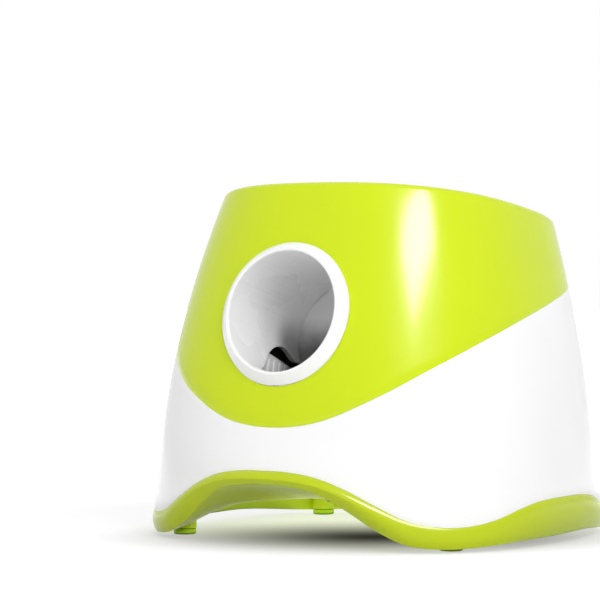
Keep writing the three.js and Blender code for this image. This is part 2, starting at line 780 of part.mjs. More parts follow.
const jackTurn = jack.turnDegrees * degrees;
const jackSpot = skinPoint(jackTurn, jack.z, 0);
const beside = skinPoint(jackTurn + degrees, jack.z, 0);
const above = skinPoint(jackTurn, jack.z + jack.size, 0);
const along = new THREE.Vector3(...beside).sub(new THREE.Vector3(...jackSpot)).normalize();
const upward = new THREE.Vector3(...above).sub(new THREE.Vector3(...jackSpot)).normalize();
const outward = new THREE.Vector3().crossVectors(upward, along).normalize();
if (outward.y < 0) outward.negate();
const acrossJack = new THREE.Vector3().crossVectors(outward, upward);
const jackMatrix = new THREE.Matrix4().makeBasis(acrossJack, outward, upward).setPosition(...jackSpot);
const inJack = (made) => solid(geometryOf(made).applyMatrix4(jackMatrix));
lowerShell = cut(lowerShell, inJack(rod(jack.nose + fit, -body.wall - overrun, overrun, 'y')));
const jackBack = -body.wall - fit * 2;
let dcJack = join(
  block(-jack.size / 2, jack.size / 2, jackBack - jack.depth, jackBack, -jack.size / 2, jack.size / 2),
  rod(jack.nose, jackBack - overrun, -fit, 'y'),
);
dcJack = cut(dcJack, rod(jack.bore, -jack.boreDeep, overrun, 'y'));
dcJack = join(dcJack, rod(jack.pin, -jack.boreDeep - overrun, -jack.bore, 'y'));
piece('dc_jack', inJack(dcJack), looks.dark);
const hingeOut = cover.lug;
lowerShell = join(lowerShell, ...[-1, 1].map((side) => {
  const near = side * (cover.strap / 2 + fit);
  const far = side * (cover.strap / 2 + fit + cover.lug);
  return inJack(block(Math.min(near, far), Math.max(near, far), -body.wall / 2, hingeOut + cover.hinge,
    cover.hingeUp - cover.hinge, cover.hingeUp + cover.hinge));
}));
const coverPinHalf = cover.strap / 2 + fit + cover.lug;
const coverPin = (radius, spare) =>
  rod(radius, -coverPinHalf - spare, coverPinHalf + spare, 'x', [0, hingeOut, cover.hingeUp]);
const jackCover = join(
  rod(cover.radius, fit * 2, fit * 2 + cover.thick, 'y'),
  rod(cover.plug, fit * 2 - cover.plugLong, fit * 2 + cover.thick / 2, 'y'),
  block(-cover.strap / 2, cover.strap / 2, fit * 2, fit * 2 + cover.thick, 0, cover.hingeUp),
  rod(cover.hinge, -cover.strap / 2, cover.strap / 2, 'x', [0, hingeOut, cover.hingeUp]),
  coverPin(cover.pin, 0),
);
lowerShell = cut(lowerShell, inJack(coverPin(cover.pin + fit, fit)));
piece('jack_cover', inJack(jackCover), looks.rubber);

// ---------- Bowl ----------

const bowlShares = [0, 0.25, 0.55, 0.8, 1];
const straightFallShare = 0.35;
const bowlFall = (share) => lerp(1 - (1 - share) ** 2, share, straightFallShare);
const neckTop = throat.bottomZ + throat.neck;
const hopperBowl = wrapped((turn) => {
  const top = rimHeight(turn, 0);
  const seat = top - rim.ledgeDrop + fit;
  const edge = rim.width + fit;
  const round = (radius, z) => [radius * Math.sin(turn), throatY - radius * Math.cos(turn), z];
  const mix = (inset, radius, share, z) => {
    const outer = skinPoint(turn, top, inset);
    const inner = round(radius, z);
    return [lerp(outer[0], inner[0], share), lerp(outer[1], inner[1], share), z];
  };
  const points = [skinPoint(turn, seat, edge), skinPoint(turn, top - fit, edge)];
  const start = rim.width + rim.ledgeWidth;
  for (const share of bowlShares) {
    points.push(mix(start, throatRadius, share, lerp(top - fit, neckTop, bowlFall(share))));
  }
  points.push(round(throatRadius, throat.bottomZ));
  points.push(round(throatRadius + throat.wall, throat.bottomZ));
  const under = start + throat.wall;
  for (const share of [...bowlShares].reverse()) {
    const z = lerp(top - fit, neckTop, bowlFall(share)) - throat.wall;
    if (share > 0) points.push(mix(under, throatRadius + throat.wall, share, z));
  }
  points.push(skinPoint(turn, seat, under));
  return points;
});

// ---------- Muzzle ring and launch tube, in the launch frame ----------

const launchTurned = (outline, sides = tubeSides) => turned(outline, 'y', [0, 0, 0], sides);
const ringOuter = ring.outer / 2;
let muzzleRing = launchTurned([
  [boreRadius, ring.crown],
  [boreRadius + ring.crown, 0],
  [boreRadius + ring.crown * 2, 0],
  [ringOuter - ring.crown, ring.proud - ring.crown],
  [ringOuter, ring.proud],
  [ringOuter, ring.neckLength],
  [tubeRadius + fit, ring.neckLength],
  [tubeRadius + fit, ring.lip],
  [boreRadius, ring.lip],
  [boreRadius, ring.crown],
]);
const aroundNeck = cut(
  inLaunch(bodyBlock(fit)),
  rod(neckRadius, -tube.length, tube.length, 'y', [0, 0, 0], tubeSides),
);
muzzleRing = cut(muzzleRing, aroundNeck);
piece('muzzle_ring', muzzleRing, looks.white, launch);

const collarOuter = throatRadius + throat.wall * 2 + fit;
const upright = (radius, z0, z1) => inLaunch(rod(radius, z0, z1, 'z', [0, throatY, 0], tubeSides));
const throatAxisZ = toBody(throat.setback / Math.cos(tilt), 0)[1];
let launchTube = join(
  rod(tubeRadius, tube.start, tube.length, 'y', [0, 0, 0], tubeSides),
  upright(collarOuter, throatAxisZ, throat.bottomZ + throat.collarLap),
);
for (const { x, along: at } of earPlaces) {
  const side = Math.sign(x);
  const [near, far] = [side * (boreRadius + fit), x + side * tube.earLong / 2];
  launchTube = join(launchTube, block(Math.min(near, far), Math.max(near, far), at - tube.earLong / 2,
    at + tube.earLong / 2, earUnder, 0));
}
launchTube = cut(
  launchTube,
  rod(boreRadius, -overrun, tube.length + overrun, 'y', [0, 0, 0], tubeSides),
  upright(throatRadius, throatAxisZ, body.rimHeight),
  upright(throatRadius + throat.wall + fit, throat.bottomZ - fit, body.rimHeight),
);
const slotEnd = carriage.face + carriage.faceThick + carriage.stroke + slot.spare;
const slotRoof = slotAlongShares.map((share, i) => [
  lerp(slot.archFront, slot.archEnd, share),
  lerp(slot.bottom, slot.archTop, slotRiseShares[i]),
]);
const slotOutline = [...slotRoof, [slotEnd, slot.top], [slotEnd, slot.bottom]].reverse();
for (const [x0, x1] of [[slot.inner, tubeRadius + overrun], [-tubeRadius - overrun, -slot.inner]]) {
  launchTube = cut(launchTube, sidePrism(slotOutline, x0, x1));
}
for (const { x, along: at } of earPlaces) {
  launchTube = cut(launchTube, rod(screw.radius + fit, earUnder - overrun, overrun, 'z', [x, at, 0]));
}

// Front anchors of the springs, and the block that carries the rubber stop
const anchor = (side) => {
  const [x0, x1] = side > 0
    ? [boreRadius - spring.radius + fit, spring.x + spring.radius]
    : [-spring.x - spring.radius, -boreRadius + spring.radius - fit];
  return block(x0, x1, spring.frontAlong - spring.hook - fit, spring.frontAlong - fit,
    spring.z - spring.hook / 2 - fit, spring.z + spring.radius);
};
const bridgeBottom = carriage.bridgeTop - carriage.bridgeThick;
const stopFront = carriage.armFront - fit - bumper.thick;
const stopLug = block(-bumper.width / 2, bumper.width / 2, stopFront - fit - bumper.lug, stopFront - fit,
  bridgeBottom - fit, -boreRadius);
const ballPath = rod(boreRadius + fit, -overrun, tube.length, 'y', [0, 0, 0], tubeSides);
launchTube = join(launchTube, cut(join(anchor(-1), anchor(1)), ballPath), cut(stopLug, ballPath));
for (const side of [-1, 1]) {
  launchTube = cut(launchTube, rod(sensor.radius + fit, boreRadius - sensor.radius * 2, ringOuter, 'x',
    [0, sensor.along, sensor.up]).scale([side, 1, 1]));
}
piece('launch_tube', launchTube, looks.pale, launch);
piece('front_bumper', block(-bumper.width / 2, bumper.width / 2, stopFront, stopFront + bumper.thick,
  bridgeBottom, bridgeBottom + bumper.high), looks.rubber, launch);

for (const [name, side] of [['ball_sensor_emitter', 1], ['ball_sensor_receiver', -1]]) {
  const start = boreRadius + sensor.inset;
  const sensorBody = turned([
    [0, start],
    [sensor.radius, start],
    [sensor.radius, tubeRadius + fit],
    [sensor.flange, tubeRadius + fit],
    [sensor.flange, tubeRadius + fit + sensor.flangeThick],
    [sensor.radius, tubeRadius + fit + sensor.flangeThick],
    [sensor.radius, start + sensor.length],
    [0, start + sensor.length],
  ], 'x', [0, sensor.along, sensor.up]);
  piece(name, sensorBody.scale([side, 1, 1]), looks.dark, launch);
}

// ---------- Launch carriage with its rack ----------

const pistonRadius = boreRadius - runningFit;
const pistonEnd = carriage.face + carriage.skirtLength;
let launchCarriage = launchTurned([
  [0, carriage.face],
  [pistonRadius, carriage.face],
  [pistonRadius, pistonEnd],
  [pistonRadius - carriage.skirtWall, pistonEnd],
  [pistonRadius - carriage.skirtWall, carriage.face + carriage.faceThick],
  [0, carriage.face + carriage.faceThick],
]);
const armEnd = carriage.face + carriage.faceThick;
for (const side of [-1, 1]) {
  const arm = frontPrism([
    [carriage.armOuter, carriage.armTop],
    [carriage.armInner + carriage.armBevel, carriage.armTop],
    [carriage.armInner, carriage.armTop - carriage.armLip],
    [carriage.armInner, bridgeBottom],
    [carriage.armOuter, bridgeBottom],
  ], carriage.armFront, armEnd);
  const ribs = Array.from({ length: armRibs }, (_, i) => {
    const at = carriage.armFront + carriage.ribPitch * (i + 0.5);
    return block(carriage.armInner - carriage.rib, carriage.armInner + carriage.rib, at,
      at + carriage.ribWidth, carriage.bridgeTop - carriage.rib, carriage.armTop - carriage.armLip);
  });
  const ear = block(carriage.webInner, spring.x + spring.radius, armEnd - carriage.earThick,
    armEnd, spring.z - spring.hook / 2 - fit, spring.z + spring.radius);
  const armPeak = carriage.armFront + carriage.noseLong;
  const aboveArm = sidePrism([
    [carriage.armFront - overrun, carriage.armTop + overrun],
    [carriage.armFront - overrun, carriage.armTop - carriage.noseHigh],
    [carriage.armFront, carriage.armTop - carriage.noseHigh],
    [armPeak, carriage.armTop],
    [armPeak + carriage.armFall, carriage.armTop - carriage.armLip],
    [armEnd + overrun, carriage.armTop - carriage.armLip],
    [armEnd + overrun, carriage.armTop + overrun],
  ].reverse(), 0, tubeRadius + overrun);
  const oneSide = join(cut(join(arm, ...ribs), aboveArm), ear);
  launchCarriage = join(launchCarriage, oneSide.scale([side, 1, 1]));
}
const rackPitch = Math.PI * winding.module;
const rackLine = bridgeBottom - winding.rackThick - dedendumShare * winding.module;
const rackTip = rackLine - addendumShare * winding.module;
const rackRoot = rackLine + dedendumShare * winding.module;
const rackTeeth = Math.ceil(carriage.stroke / rackPitch) + 3;
const rackHalf = (rackPitch / 2 - backlash) / 2;
const flank = Math.tan(toothAngle);
const rackPoints = [];
for (let i = 0; i < rackTeeth; i += 1) {
  const at = winding.along + (i + 0.5 - (rackTeeth - 2)) * rackPitch;
  const rootHalf = rackHalf + (rackRoot - rackLine) * flank;
  const tipHalf = rackHalf - (rackLine - rackTip) * flank;
  rackPoints.push([at - rootHalf, rackRoot], [at - tipHalf, rackTip]);
  rackPoints.push([at + tipHalf, rackTip], [at + rootHalf, rackRoot]);
}
const rackFront = rackPoints[0][0] - winding.module;
const rackBack = rackPoints[rackPoints.length - 1][0] + winding.module;
const rackTop = bridgeBottom + carriage.bridgeThick / 2;
rackPoints.push([rackBack, rackRoot], [rackBack, rackTop], [rackFront, rackTop], [rackFront, rackRoot]);
launchCarriage = join(
  launchCarriage,
  block(-carriage.armOuter, carriage.armOuter, carriage.armFront, armEnd, bridgeBottom, carriage.bridgeTop),
  block(-winding.face, winding.face, armEnd - overrun, rackBack, bridgeBottom, carriage.bridgeTop),
  sidePrism(rackPoints, -winding.face / 2, winding.face / 2),
);
piece('launch_carriage', launchCarriage, looks.white, launch);

// Coil springs from the tube's anchors to the carriage's ears
class Coil extends THREE.Curve {
  constructor(radius, length, turns) {
    super();
    Object.assign(this, { radius, length, turns });
  }

  getPoint(share, target = new THREE.Vector3()) {
    const a = 2 * Math.PI * this.turns * share;
    return target.set(this.radius * Math.cos(a), this.length * share, this.radius * Math.sin(a));
  }
}
const springStart = spring.frontAlong + spring.wire;
const springEnd = armEnd - carriage.earThick - fit - spring.wire;
const coil = new Coil(spring.radius - spring.wire / 2, springEnd - springStart, springTurns);
const wire = new THREE.Shape(circle(spring.wire / 2, 0, 0, 4).map(([x, y]) => new THREE.Vector2(x, y)));
const coilSteps = springTurns * 8;
const coilGeometry = new THREE.ExtrudeGeometry(wire, {
  steps: coilSteps,
  extrudePath: coil,
  bevelEnabled: false,
});
for (const [name, side] of [['launch_spring_left', -1], ['launch_spring_right', 1]]) {
  const placed = solid(coilGeometry.clone().translate(side * spring.x, springStart, spring.z));
  piece(name, placed, looks.steel, launch);
}
const coilGap = (springEnd - springStart) / springTurns - spring.wire;
console.log(`least gap between spring curls ${coilGap.toFixed(2)} mm`);

// ---------- Gear train ----------

// Half angle of a tooth at a radius, from its thickness at the pitch circle
function toothHalfAngle(teeth, module, radius) {
  const pitchRadius = teeth * module / 2;
  const involute = (angle) => Math.tan(angle) - angle;
  const baseRadius = pitchRadius * Math.cos(toothAngle);
  const local = Math.acos(Math.min(1, baseRadius / Math.max(radius, baseRadius)));
  return (Math.PI * module / 2 - backlash) / 2 / pitchRadius + involute(toothAngle) - involute(local);
}

// Outline of a spur gear with some or all of its teeth, first tooth at the phase angle
function gearOutline([y, z], teeth, module, phase, kept = teeth) {
  const pitchRadius = teeth * module / 2;
  const rootRadius = pitchRadius - dedendumShare * module;
  const tipRadius = pitchRadius + addendumShare * module;
  const levels = teeth < 16 ? [rootRadius, pitchRadius, tipRadius] : [rootRadius, tipRadius];
  const points = [];
  const add = (radius, angle) => points.push([y + radius * Math.cos(angle), z + radius * Math.sin(angle)]);
  for (let i = 0; i < teeth; i += 1) {
    const middle = phase + 2 * Math.PI * i / teeth;
    if (i >= kept) {
      add(rootRadius, middle);
    } else {
      for (const radius of levels) add(radius, middle - toothHalfAngle(teeth, module, radius));
      for (const radius of [...levels].reverse()) add(radius, middle + toothHalfAngle(teeth, module, radius));
    }
  }
  return points;
}

// Phase that puts a gear in mesh with its neighbour
function meshPhase(from, fromTeeth, fromPhase, to, toTeeth, module) {
  const line = Math.atan2(to[1] - from[1], to[0] - from[0]);
  const shift = (fromPhase - line) * fromTeeth * module / 2 + Math.PI * module / 2;
  return line + Math.PI - shift / (toTeeth * module / 2);
}

// Centre of the next gear, a set drop below the last
function nextCentre([y, z], distance, drop) {
  return [y - Math.sqrt(distance * distance - drop * drop), z - drop];
}

const windingCentre = [winding.along, rackLine - sectorPitches * winding.module / 2];
const reductionCentre = nextCentre(windingCentre, (wheelTeeth + pinionTeeth) * winding.wheelModule / 2,
  reduction.drop);
const motorCentre = nextCentre(reductionCentre, (reductionTeeth + motorTeeth) * reduction.module / 2,
  motor.drop);
const sectorPhase = Math.PI / 2;
const gearBore = axle.radius + fit / 2;
const bored = (made, [y, z], radius, x0, x1) =>
  cut(made, rod(radius, x0 - overrun, x1 + overrun, 'x', [0, y, z]));

const windingHalf = winding.face / 2;
const wheelEnd = winding.wheelX + winding.wheelFace;
let windingGear = join(
  sidePrism(gearOutline(windingCentre, sectorPitches, winding.module, sectorPhase, sectorTeeth), -windingHalf,
    windingHalf),
  sidePrism(gearOutline(windingCentre, wheelTeeth, winding.wheelModule, 0), winding.wheelX, wheelEnd),
  rod(winding.hub, -windingHalf - fit, wheelEnd + fit, 'x', [0, ...windingCentre]),
);
windingGear = bored(windingGear, windingCentre, gearBore, -windingHalf, wheelEnd);
piece('winding_gear', windingGear, looks.acetal, launch);

const reductionPhase = meshPhase(windingCentre, wheelTeeth, 0, reductionCentre, pinionTeeth,
  winding.wheelModule);
const reductionEnd = reduction.x + reduction.face;
let reductionGear = join(
  sidePrism(gearOutline(reductionCentre, pinionTeeth, winding.wheelModule, reductionPhase), reduction.pinionX,
    reduction.x + reduction.face / 2),
  sidePrism(gearOutline(reductionCentre, reductionTeeth, reduction.module, 0), reduction.x, reductionEnd),
);
reductionGear = bored(reductionGear, reductionCentre, gearBore, reduction.pinionX, reductionEnd);
piece('reduction_gear', reductionGear, looks.acetal, launch);

const motorPhase = meshPhase(reductionCentre, reductionTeeth, 0, motorCentre, motorTeeth, reduction.module);
const pinionStart = reduction.x - fit;
const pinionEnd = reductionEnd + fit;
let motorPinion = sidePrism(gearOutline(motorCentre, motorTeeth, reduction.module, motorPhase), pinionStart,
  pinionEnd);
motorPinion = bored(motorPinion, motorCentre, motor.shaft + threadFit, pinionStart, pinionEnd);
piece('motor_pinion', motorPinion, looks.brass, launch);
const plateOuter = gearPlate.rightX + gearPlate.thick;
const motorFace = plateOuter + fit;
const shaftEnd = motorFace + motor.length / 2;
const motorShaft = rod(motor.shaft, pinionStart - fit, shaftEnd, 'x', [0, ...motorCentre]);
piece('motor_shaft', motorShaft, looks.steel, launch);
piece('drive_motor', turned([
  [0, shaftEnd + fit],
  [motor.shaft + threadFit, shaftEnd + fit],
  [motor.shaft + threadFit, gearPlate.rightX],
  [motor.boss, gearPlate.rightX],
  [motor.boss, motorFace],
  [motor.radius, motorFace],
  [motor.radius, motorFace + motor.length],
  [motor.capRadius, motorFace + motor.length],
  [motor.capRadius, motorFace + motor.length + motor.capThick],
  [0, motorFace + motor.length + motor.capThick],
], 'x', [0, ...motorCentre], motorSides), looks.steel, launch);

for (const [name, centre] of [['winding_axle', windingCentre], ['reduction_axle', reductionCentre]]) {
  const left = gearPlate.leftX - fit;
  const right = plateOuter + fit;
  piece(name, turned([
    [0, left - axle.headThick],
    [axle.head, left - axle.headThick],
    [axle.head, left],
    [axle.radius, left],
    [axle.radius, right],
    [0, right],
  ], 'x', [0, ...centre]), looks.steel, launch);
}

// Plates that carry the axles, standing on the floor
const gearSpots = [windingCentre, reductionCentre, motorCentre];
const spotsInBody = gearSpots.map((spot) => toBody(...spot));
const plateFoot = floorTop + fit;
function gearPlateSolid(x0, spots, holes, flangeSide) {
  const rounds = spots.flatMap(([y, z]) => circle(gearPlate.margin, y, z, smallSides));
  const feet = [[spots[0][0] + gearPlate.margin, plateFoot], [spots[1][0] + gearPlate.margin, plateFoot]];
  let plate = sidePrism(hull([...rounds, ...feet]), x0, x0 + gearPlate.thick);
  const edge = flangeSide > 0 ? x0 + gearPlate.thick / 2 : x0 + gearPlate.thick / 2 - gearPlate.flange;
  const [flangeFront, flangeRear] = [spots[1][0] + gearPlate.margin, spots[0][0] + gearPlate.margin * 2];
  plate = join(plate, block(edge, edge + gearPlate.flange, flangeFront, flangeRear, plateFoot,
    plateFoot + gearPlate.thick));
  const drills = holes.map(([[y, z], radius]) =>
    rod(radius, x0 - overrun, x0 + gearPlate.thick + overrun, 'x', [0, y, z]));
  return cut(plate, ...drills);
}
const axleHole = axle.radius + fit / 2;
const leftPlate = gearPlateSolid(gearPlate.leftX, spotsInBody.slice(0, 2),
  [[spotsInBody[0], axleHole], [spotsInBody[1], axleHole]], -1);
const rightPlate = gearPlateSolid(gearPlate.rightX, spotsInBody,
  [[spotsInBody[0], axleHole], [spotsInBody[1], axleHole], [spotsInBody[2], motor.boss + fit]], 1);
const flangeMid = (side) => side > 0
  ? plateOuter + gearPlate.flange / 2
  : gearPlate.leftX - gearPlate.flange / 2;
const flangeEnds = [spotsInBody[0][0] + gearPlate.margin * 2, spotsInBody[1][0] + gearPlate.margin];
const gearScrewPlaces = [-1, 1].flatMap((side) => [
  [flangeMid(side), flangeEnds[0] - gearPlate.flange / 2],
  [flangeMid(side), flangeEnds[1] + gearPlate.flange / 2],
]);
const drilled = (made) => cut(made, ...gearScrewPlaces.map(([x, y]) =>
  rod(screw.radius + fit, base.floorUnder - overrun, plateFoot + gearPlate.thick + overrun, 'z', [x, y, 0])));
piece('left_gear_plate', drilled(leftPlate), looks.grey);
piece('right_gear_plate', drilled(rightPlate), looks.grey);
baseTray = cut(baseTray, ...gearScrewPlaces.map(([x, y]) =>
  rod(screw.radius + fit, base.floorUnder - overrun, floorTop + overrun, 'z', [x, y, 0])));

// Limit switch on the outer face of the left plate
const switchSpot = (spotsInBody[0][0] + spotsInBody[1][0]) / 2;
piece('limit_switch', block(gearPlate.leftX - fit - limitSwitch.width, gearPlate.leftX - fit,
  switchSpot - limitSwitch.long / 2, switchSpot + limitSwitch.long / 2, plateFoot + gearPlate.thick + fit,
  plateFoot + limitSwitch.high), looks.dark);

// ---------- Battery bay ----------

let batteryBox = join(
  block(-bayX, bayX, bay.centreY - bayY, bay.centreY + bayY, base.floorUnder, bayTopIn + bay.wall),
  block(-bayX - bay.flange, bayX + bay.flange, bay.centreY - bayY - bay.flange,
    bay.centreY + bayY + bay.flange, floorTop + fit, floorTop + fit + bay.flangeThick),
);
batteryBox = cut(batteryBox, block(-bayInnerX, bayInnerX, bay.centreY - bayInnerY, bay.centreY + bayInnerY,
  base.floorUnder - overrun, bayTopIn));
piece('battery_box', batteryBox, looks.dark);
const rowPlaces = Array.from({ length: cellRows }, (_, i) =>
  bay.centreY + (i - (cellRows - 1) / 2) * cellPitch);
const cells = rowPlaces.flatMap((y) => [-1, 1].map((side) => {
  const near = fit / 2;
  const outline = [
    [0, near],
    [cell.radius, near],
    [cell.radius, near + cell.length - cell.buttonLong - fit],
    [cell.button, near + cell.length - cell.buttonLong - fit],
    [cell.button, near + cell.length - fit],
    [0, near + cell.length - fit],
  ];
  return turned(outline, 'x', [0, y, cellZ]).scale([side, 1, 1]);
}));
cells.forEach((made, i) => piece(`aa_cell_${i + 1}`, made, looks.cellWrap));
const contactOuter = bayInnerX - fit;
const contactStrip = join(
  block(contactOuter - bay.contactThick, contactOuter, rowPlaces[0] - bay.contact / 2,
    rowPlaces[cellRows - 1] + bay.contact / 2, cellZ - bay.contact / 2, cellZ + bay.contact / 2),
  ...rowPlaces.map((y) => turned([
    [0, cell.length + fit],
    [bay.coil / 2, cell.length + fit],
    [bay.coil, contactOuter - bay.contactThick / 2],
    [0, contactOuter - bay.contactThick / 2],
  ], 'x', [0, y, cellZ])),
);
piece('battery_contacts_right', contactStrip, looks.steel);
piece('battery_contacts_left', contactStrip.scale([-1, 1, 1]), looks.steel);

// Hinged door over the bay, with a finger grip at its front edge
const doorTop = base.floorUnder - fit;
let batteryDoor = join(
  block(-bayX - door.lap, bayX + door.lap, bay.centreY - bayY - door.lap, doorBack - door.barrel - fit,
    doorTop - door.thick, doorTop),
  block(-door.barrelLong / 2, door.barrelLong / 2, doorBack - door.barrel - overrun, doorBack,
    doorTop - door.thick, doorTop),
  rod(door.barrel, -door.barrelLong / 2, door.barrelLong / 2, 'x', doorAxis),
  block(-door.grip / 2, door.grip / 2, bay.centreY - bayY - door.lap, bay.centreY - bayY,
    doorTop - door.thick - door.gripHigh, doorTop - door.thick / 2),
);
batteryDoor = cut(batteryDoor, rod(door.pin + fit / 2, -door.barrelLong, door.barrelLong, 'x', doorAxis));
piece('battery_door', batteryDoor, looks.green);
piece('door_hinge_pin', rod(door.pin, -pinHalf, pinHalf, 'x', doorAxis), looks.steel);

// ---------- Boards ----------

const mainBoardLow = floorTop + fit * 2;
piece('main_board', join(
  block(boardX, boardX + board.thick, boardY[0], boardY[1], mainBoardLow, mainBoardLow + mainBoard.height),
  block(boardX + board.thick / 2, boardX + board.thick + board.chipThick, mainBoard.y - board.chip,
    mainBoard.y + board.chip, mainBoardLow + mainBoard.height / 2,
    mainBoardLow + mainBoard.height / 2 + board.chip),
), looks.boardGreen);
piece('buzzer', rod(mainBoard.buzzer, boardX - fit - mainBoard.buzzerHigh, boardX - fit, 'x',
  [0, mainBoard.y, mainBoardLow + mainBoard.height / 2]), looks.dark);

// ---------- Feet and screws ----------

const footNames = ['foot_front_left', 'foot_front_right', 'foot_rear_left', 'foot_rear_right'];
footPlaces.forEach(([x, y], i) => {
  piece(footNames[i], rod(foot.radius - fit, 0, foot.pad, 'z', [x, y, 0]), looks.green);
});

// Screw pointing up from a seat under its head
const screwBody = (length) => turned([
  [0, -screw.headThick],
  [screw.head, -screw.headThick],
  [screw.head, 0],
  [screw.radius, 0],
  [screw.radius, length],
  [0, length],
], 'z', [0, 0, 0], screwSides);
function addScrews(name, length, places, group = product, turn = 0) {
  places.forEach(([x, y, z], i) => {
    const mesh = piece(`${name}_${i + 1}`, screwBody(length), looks.steel, group);
    mesh.position.set(x, y, z);
    mesh.rotation.x = turn;
  });
}
const seatUnder = base.floorUnder - fit;
addScrews('base_screw', screw.length, lugPlaces.map(({ centre: [x, y] }) => [x, y, seatUnder]));
addScrews('gearbox_screw', plateFoot + gearPlate.thick - seatUnder,
  gearScrewPlaces.map(([x, y]) => [x, y, seatUnder]));
addScrews('seam_screw', screw.length,
  seamLugs.map(({ z, centre: [x, y] }) => [x, y, z - lug.height - fit]));
addScrews('tube_screw', screw.length, earPlaces.map(({ x, along: at }) => [x, at, fit]), launch, Math.PI);

for (const { x, along: at } of earPlaces) {
  const hole = rod(screw.radius + threadFit, earUnder - screw.length, earUnder + overrun, 'z', [x, at, 0]);
  baseTray = cut(baseTray, inBody(hole));
}
piece('upper_shell', upperShell, looks.green);
piece('lower_shell', lowerShell, looks.white);
piece('base_tray', baseTray, looks.green);
piece('hopper_bowl', hopperBowl, looks.white);
piece('control_panel', controlPanel, looks.grey);

export default product;
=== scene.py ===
# %% [markdown]
# # A ball launcher, dressed for its photograph
# The solids of the launcher come in as a fixed frame. Each cell below makes one visible piece again
# with a fine surface, from the same sizes, and gives it a material made of nodes.

# %% Load the frame
import math

import bpy
import bmesh
from mathutils import Matrix, Vector


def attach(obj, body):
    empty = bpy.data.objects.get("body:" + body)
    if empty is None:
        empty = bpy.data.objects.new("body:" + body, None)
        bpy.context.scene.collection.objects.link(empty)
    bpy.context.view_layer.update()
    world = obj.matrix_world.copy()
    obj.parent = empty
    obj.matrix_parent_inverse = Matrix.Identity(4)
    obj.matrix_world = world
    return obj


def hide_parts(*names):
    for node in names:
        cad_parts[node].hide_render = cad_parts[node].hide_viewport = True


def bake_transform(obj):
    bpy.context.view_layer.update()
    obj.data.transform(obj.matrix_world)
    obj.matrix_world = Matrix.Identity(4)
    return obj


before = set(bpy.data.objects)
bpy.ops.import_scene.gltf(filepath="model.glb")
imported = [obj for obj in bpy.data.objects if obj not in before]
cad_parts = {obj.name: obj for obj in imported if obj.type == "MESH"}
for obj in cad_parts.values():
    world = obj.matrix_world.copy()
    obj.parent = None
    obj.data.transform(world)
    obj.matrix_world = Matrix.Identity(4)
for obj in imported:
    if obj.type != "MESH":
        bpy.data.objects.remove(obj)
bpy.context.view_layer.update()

# %% [markdown]
# ## Sizes
# The body is a squared oval that tapers as it rises and leans with height. These are the same sizes and
# tables, in millimetres, that the solids were made from, so each fine surface lands on its solid.

# %% Sizes and body surface
MM = 0.001
FIT = 0.3
BODY = dict(half_x=115.7, half_y=112.8, rim=176.8, wall=3.0, mid_y=3.35, lean=(9.5, 16.4),
            taper_x=(0.064, 0.207), taper_y=(0.104, 0.152), flare=5.0, flare_top=66.0, flare_full=36.0)
POWER = 2.5
RIM_SLOPE = 0.146
FLARE_SPREAD = math.radians(45)
SEAM = [0.348, 0.369, 0.438, 0.523, 0.597, 0.652, 0.691, 0.725, 0.751, 0.765, 0.772, 0.775, 0.776]
BAND_TOP = [1, 0.99, 0.935, 0.8, 0.6, 0.41, 0.33, 0.33, 0.395, 0.505, 0.58, 0.605, 0.608,
            0.603, 0.57, 0.48, 0.38, 0.33, 0.325, 0.362, 0.463, 0.55, 0.6, 0.615, 0.62]
BAND_LOW = [0.833, 0.81, 0.735, 0.535, 0.28, 0.1, 0.05, 0.055, 0.075, 0.095, 0.105, 0.11, 0.115,
            0.12, 0.12, 0.1, 0.075, 0.055, 0.05, 0.06, 0.08, 0.1, 0.11, 0.115, 0.115]
LIP = [0.36, 0.36, 0.4, 0.55, 0.85, 1, 0.9, 0.6, 0.4, 0.33, 0.33, 0.33, 0.33,
       0.33, 0.33, 0.33, 0.36, 0.45, 0.5, 0.45, 0.36, 0.33, 0.33, 0.33, 0.33]
ARCH_TOP = 40.0
FLOOR_UNDER = 20.0
FLOOR_THICK = 2.5
SCOOP = 80.0
TILT = math.radians(13.7)
MUZZLE = (-95.95, 121.0)
BORE_R = 32.0
TUBE_R = 34.6
NECK_R = 36.3
THROAT_R = 29.0
THROAT_Y = MUZZLE[0] + 99.0


def lerp(a, b, share):
    return a + (b - a) * share


def smooth(share):
    s = min(1.0, max(0.0, share))
    return s * s * (3 - 2 * s)


def cubic(a, b, slope_a, slope_b, f):
    """Smooth value between a and b that leaves and arrives at these slopes."""
    return (a * (2 * f**3 - 3 * f * f + 1) + slope_a * (f**3 - 2 * f * f + f)
            + b * (3 * f * f - 2 * f**3) + slope_b * (f**3 - f * f))


def from_table(shares, angle):
    """Smooth value from evenly spaced shares, mirrored at both ends."""
    last = len(shares) - 1
    spot = min(abs(angle), math.pi) / math.pi * last
    i = min(int(spot), last - 1)
    before, a, b, after = [shares[last - abs(last - abs(k))] for k in range(i - 1, i + 3)]
    return cubic(a, b, (b - before) / 2, (after - a) / 2, spot - i)


def section(z):
    """Half width, half depth and middle of the body at a height."""
    t = z / BODY["rim"]
    return (BODY["half_x"] * (1 - BODY["taper_x"][0] * t - BODY["taper_x"][1] * t * t),
            BODY["half_y"] * (1 - BODY["taper_y"][0] * t - BODY["taper_y"][1] * t * t),
            BODY["mid_y"] - BODY["lean"][0] * t + BODY["lean"][1] * t * t)


def powered(value):
    return math.copysign(abs(value) ** (2 / POWER), value)


def plan_angle(turn):
    return math.atan2(BODY["half_x"] * powered(math.sin(turn)), BODY["half_y"] * powered(math.cos(turn)))


def front_share(turn):
    spread = abs(plan_angle(turn)) / FLARE_SPREAD
    return math.cos(spread * math.pi / 2) ** 2 if spread < 1 else 0.0


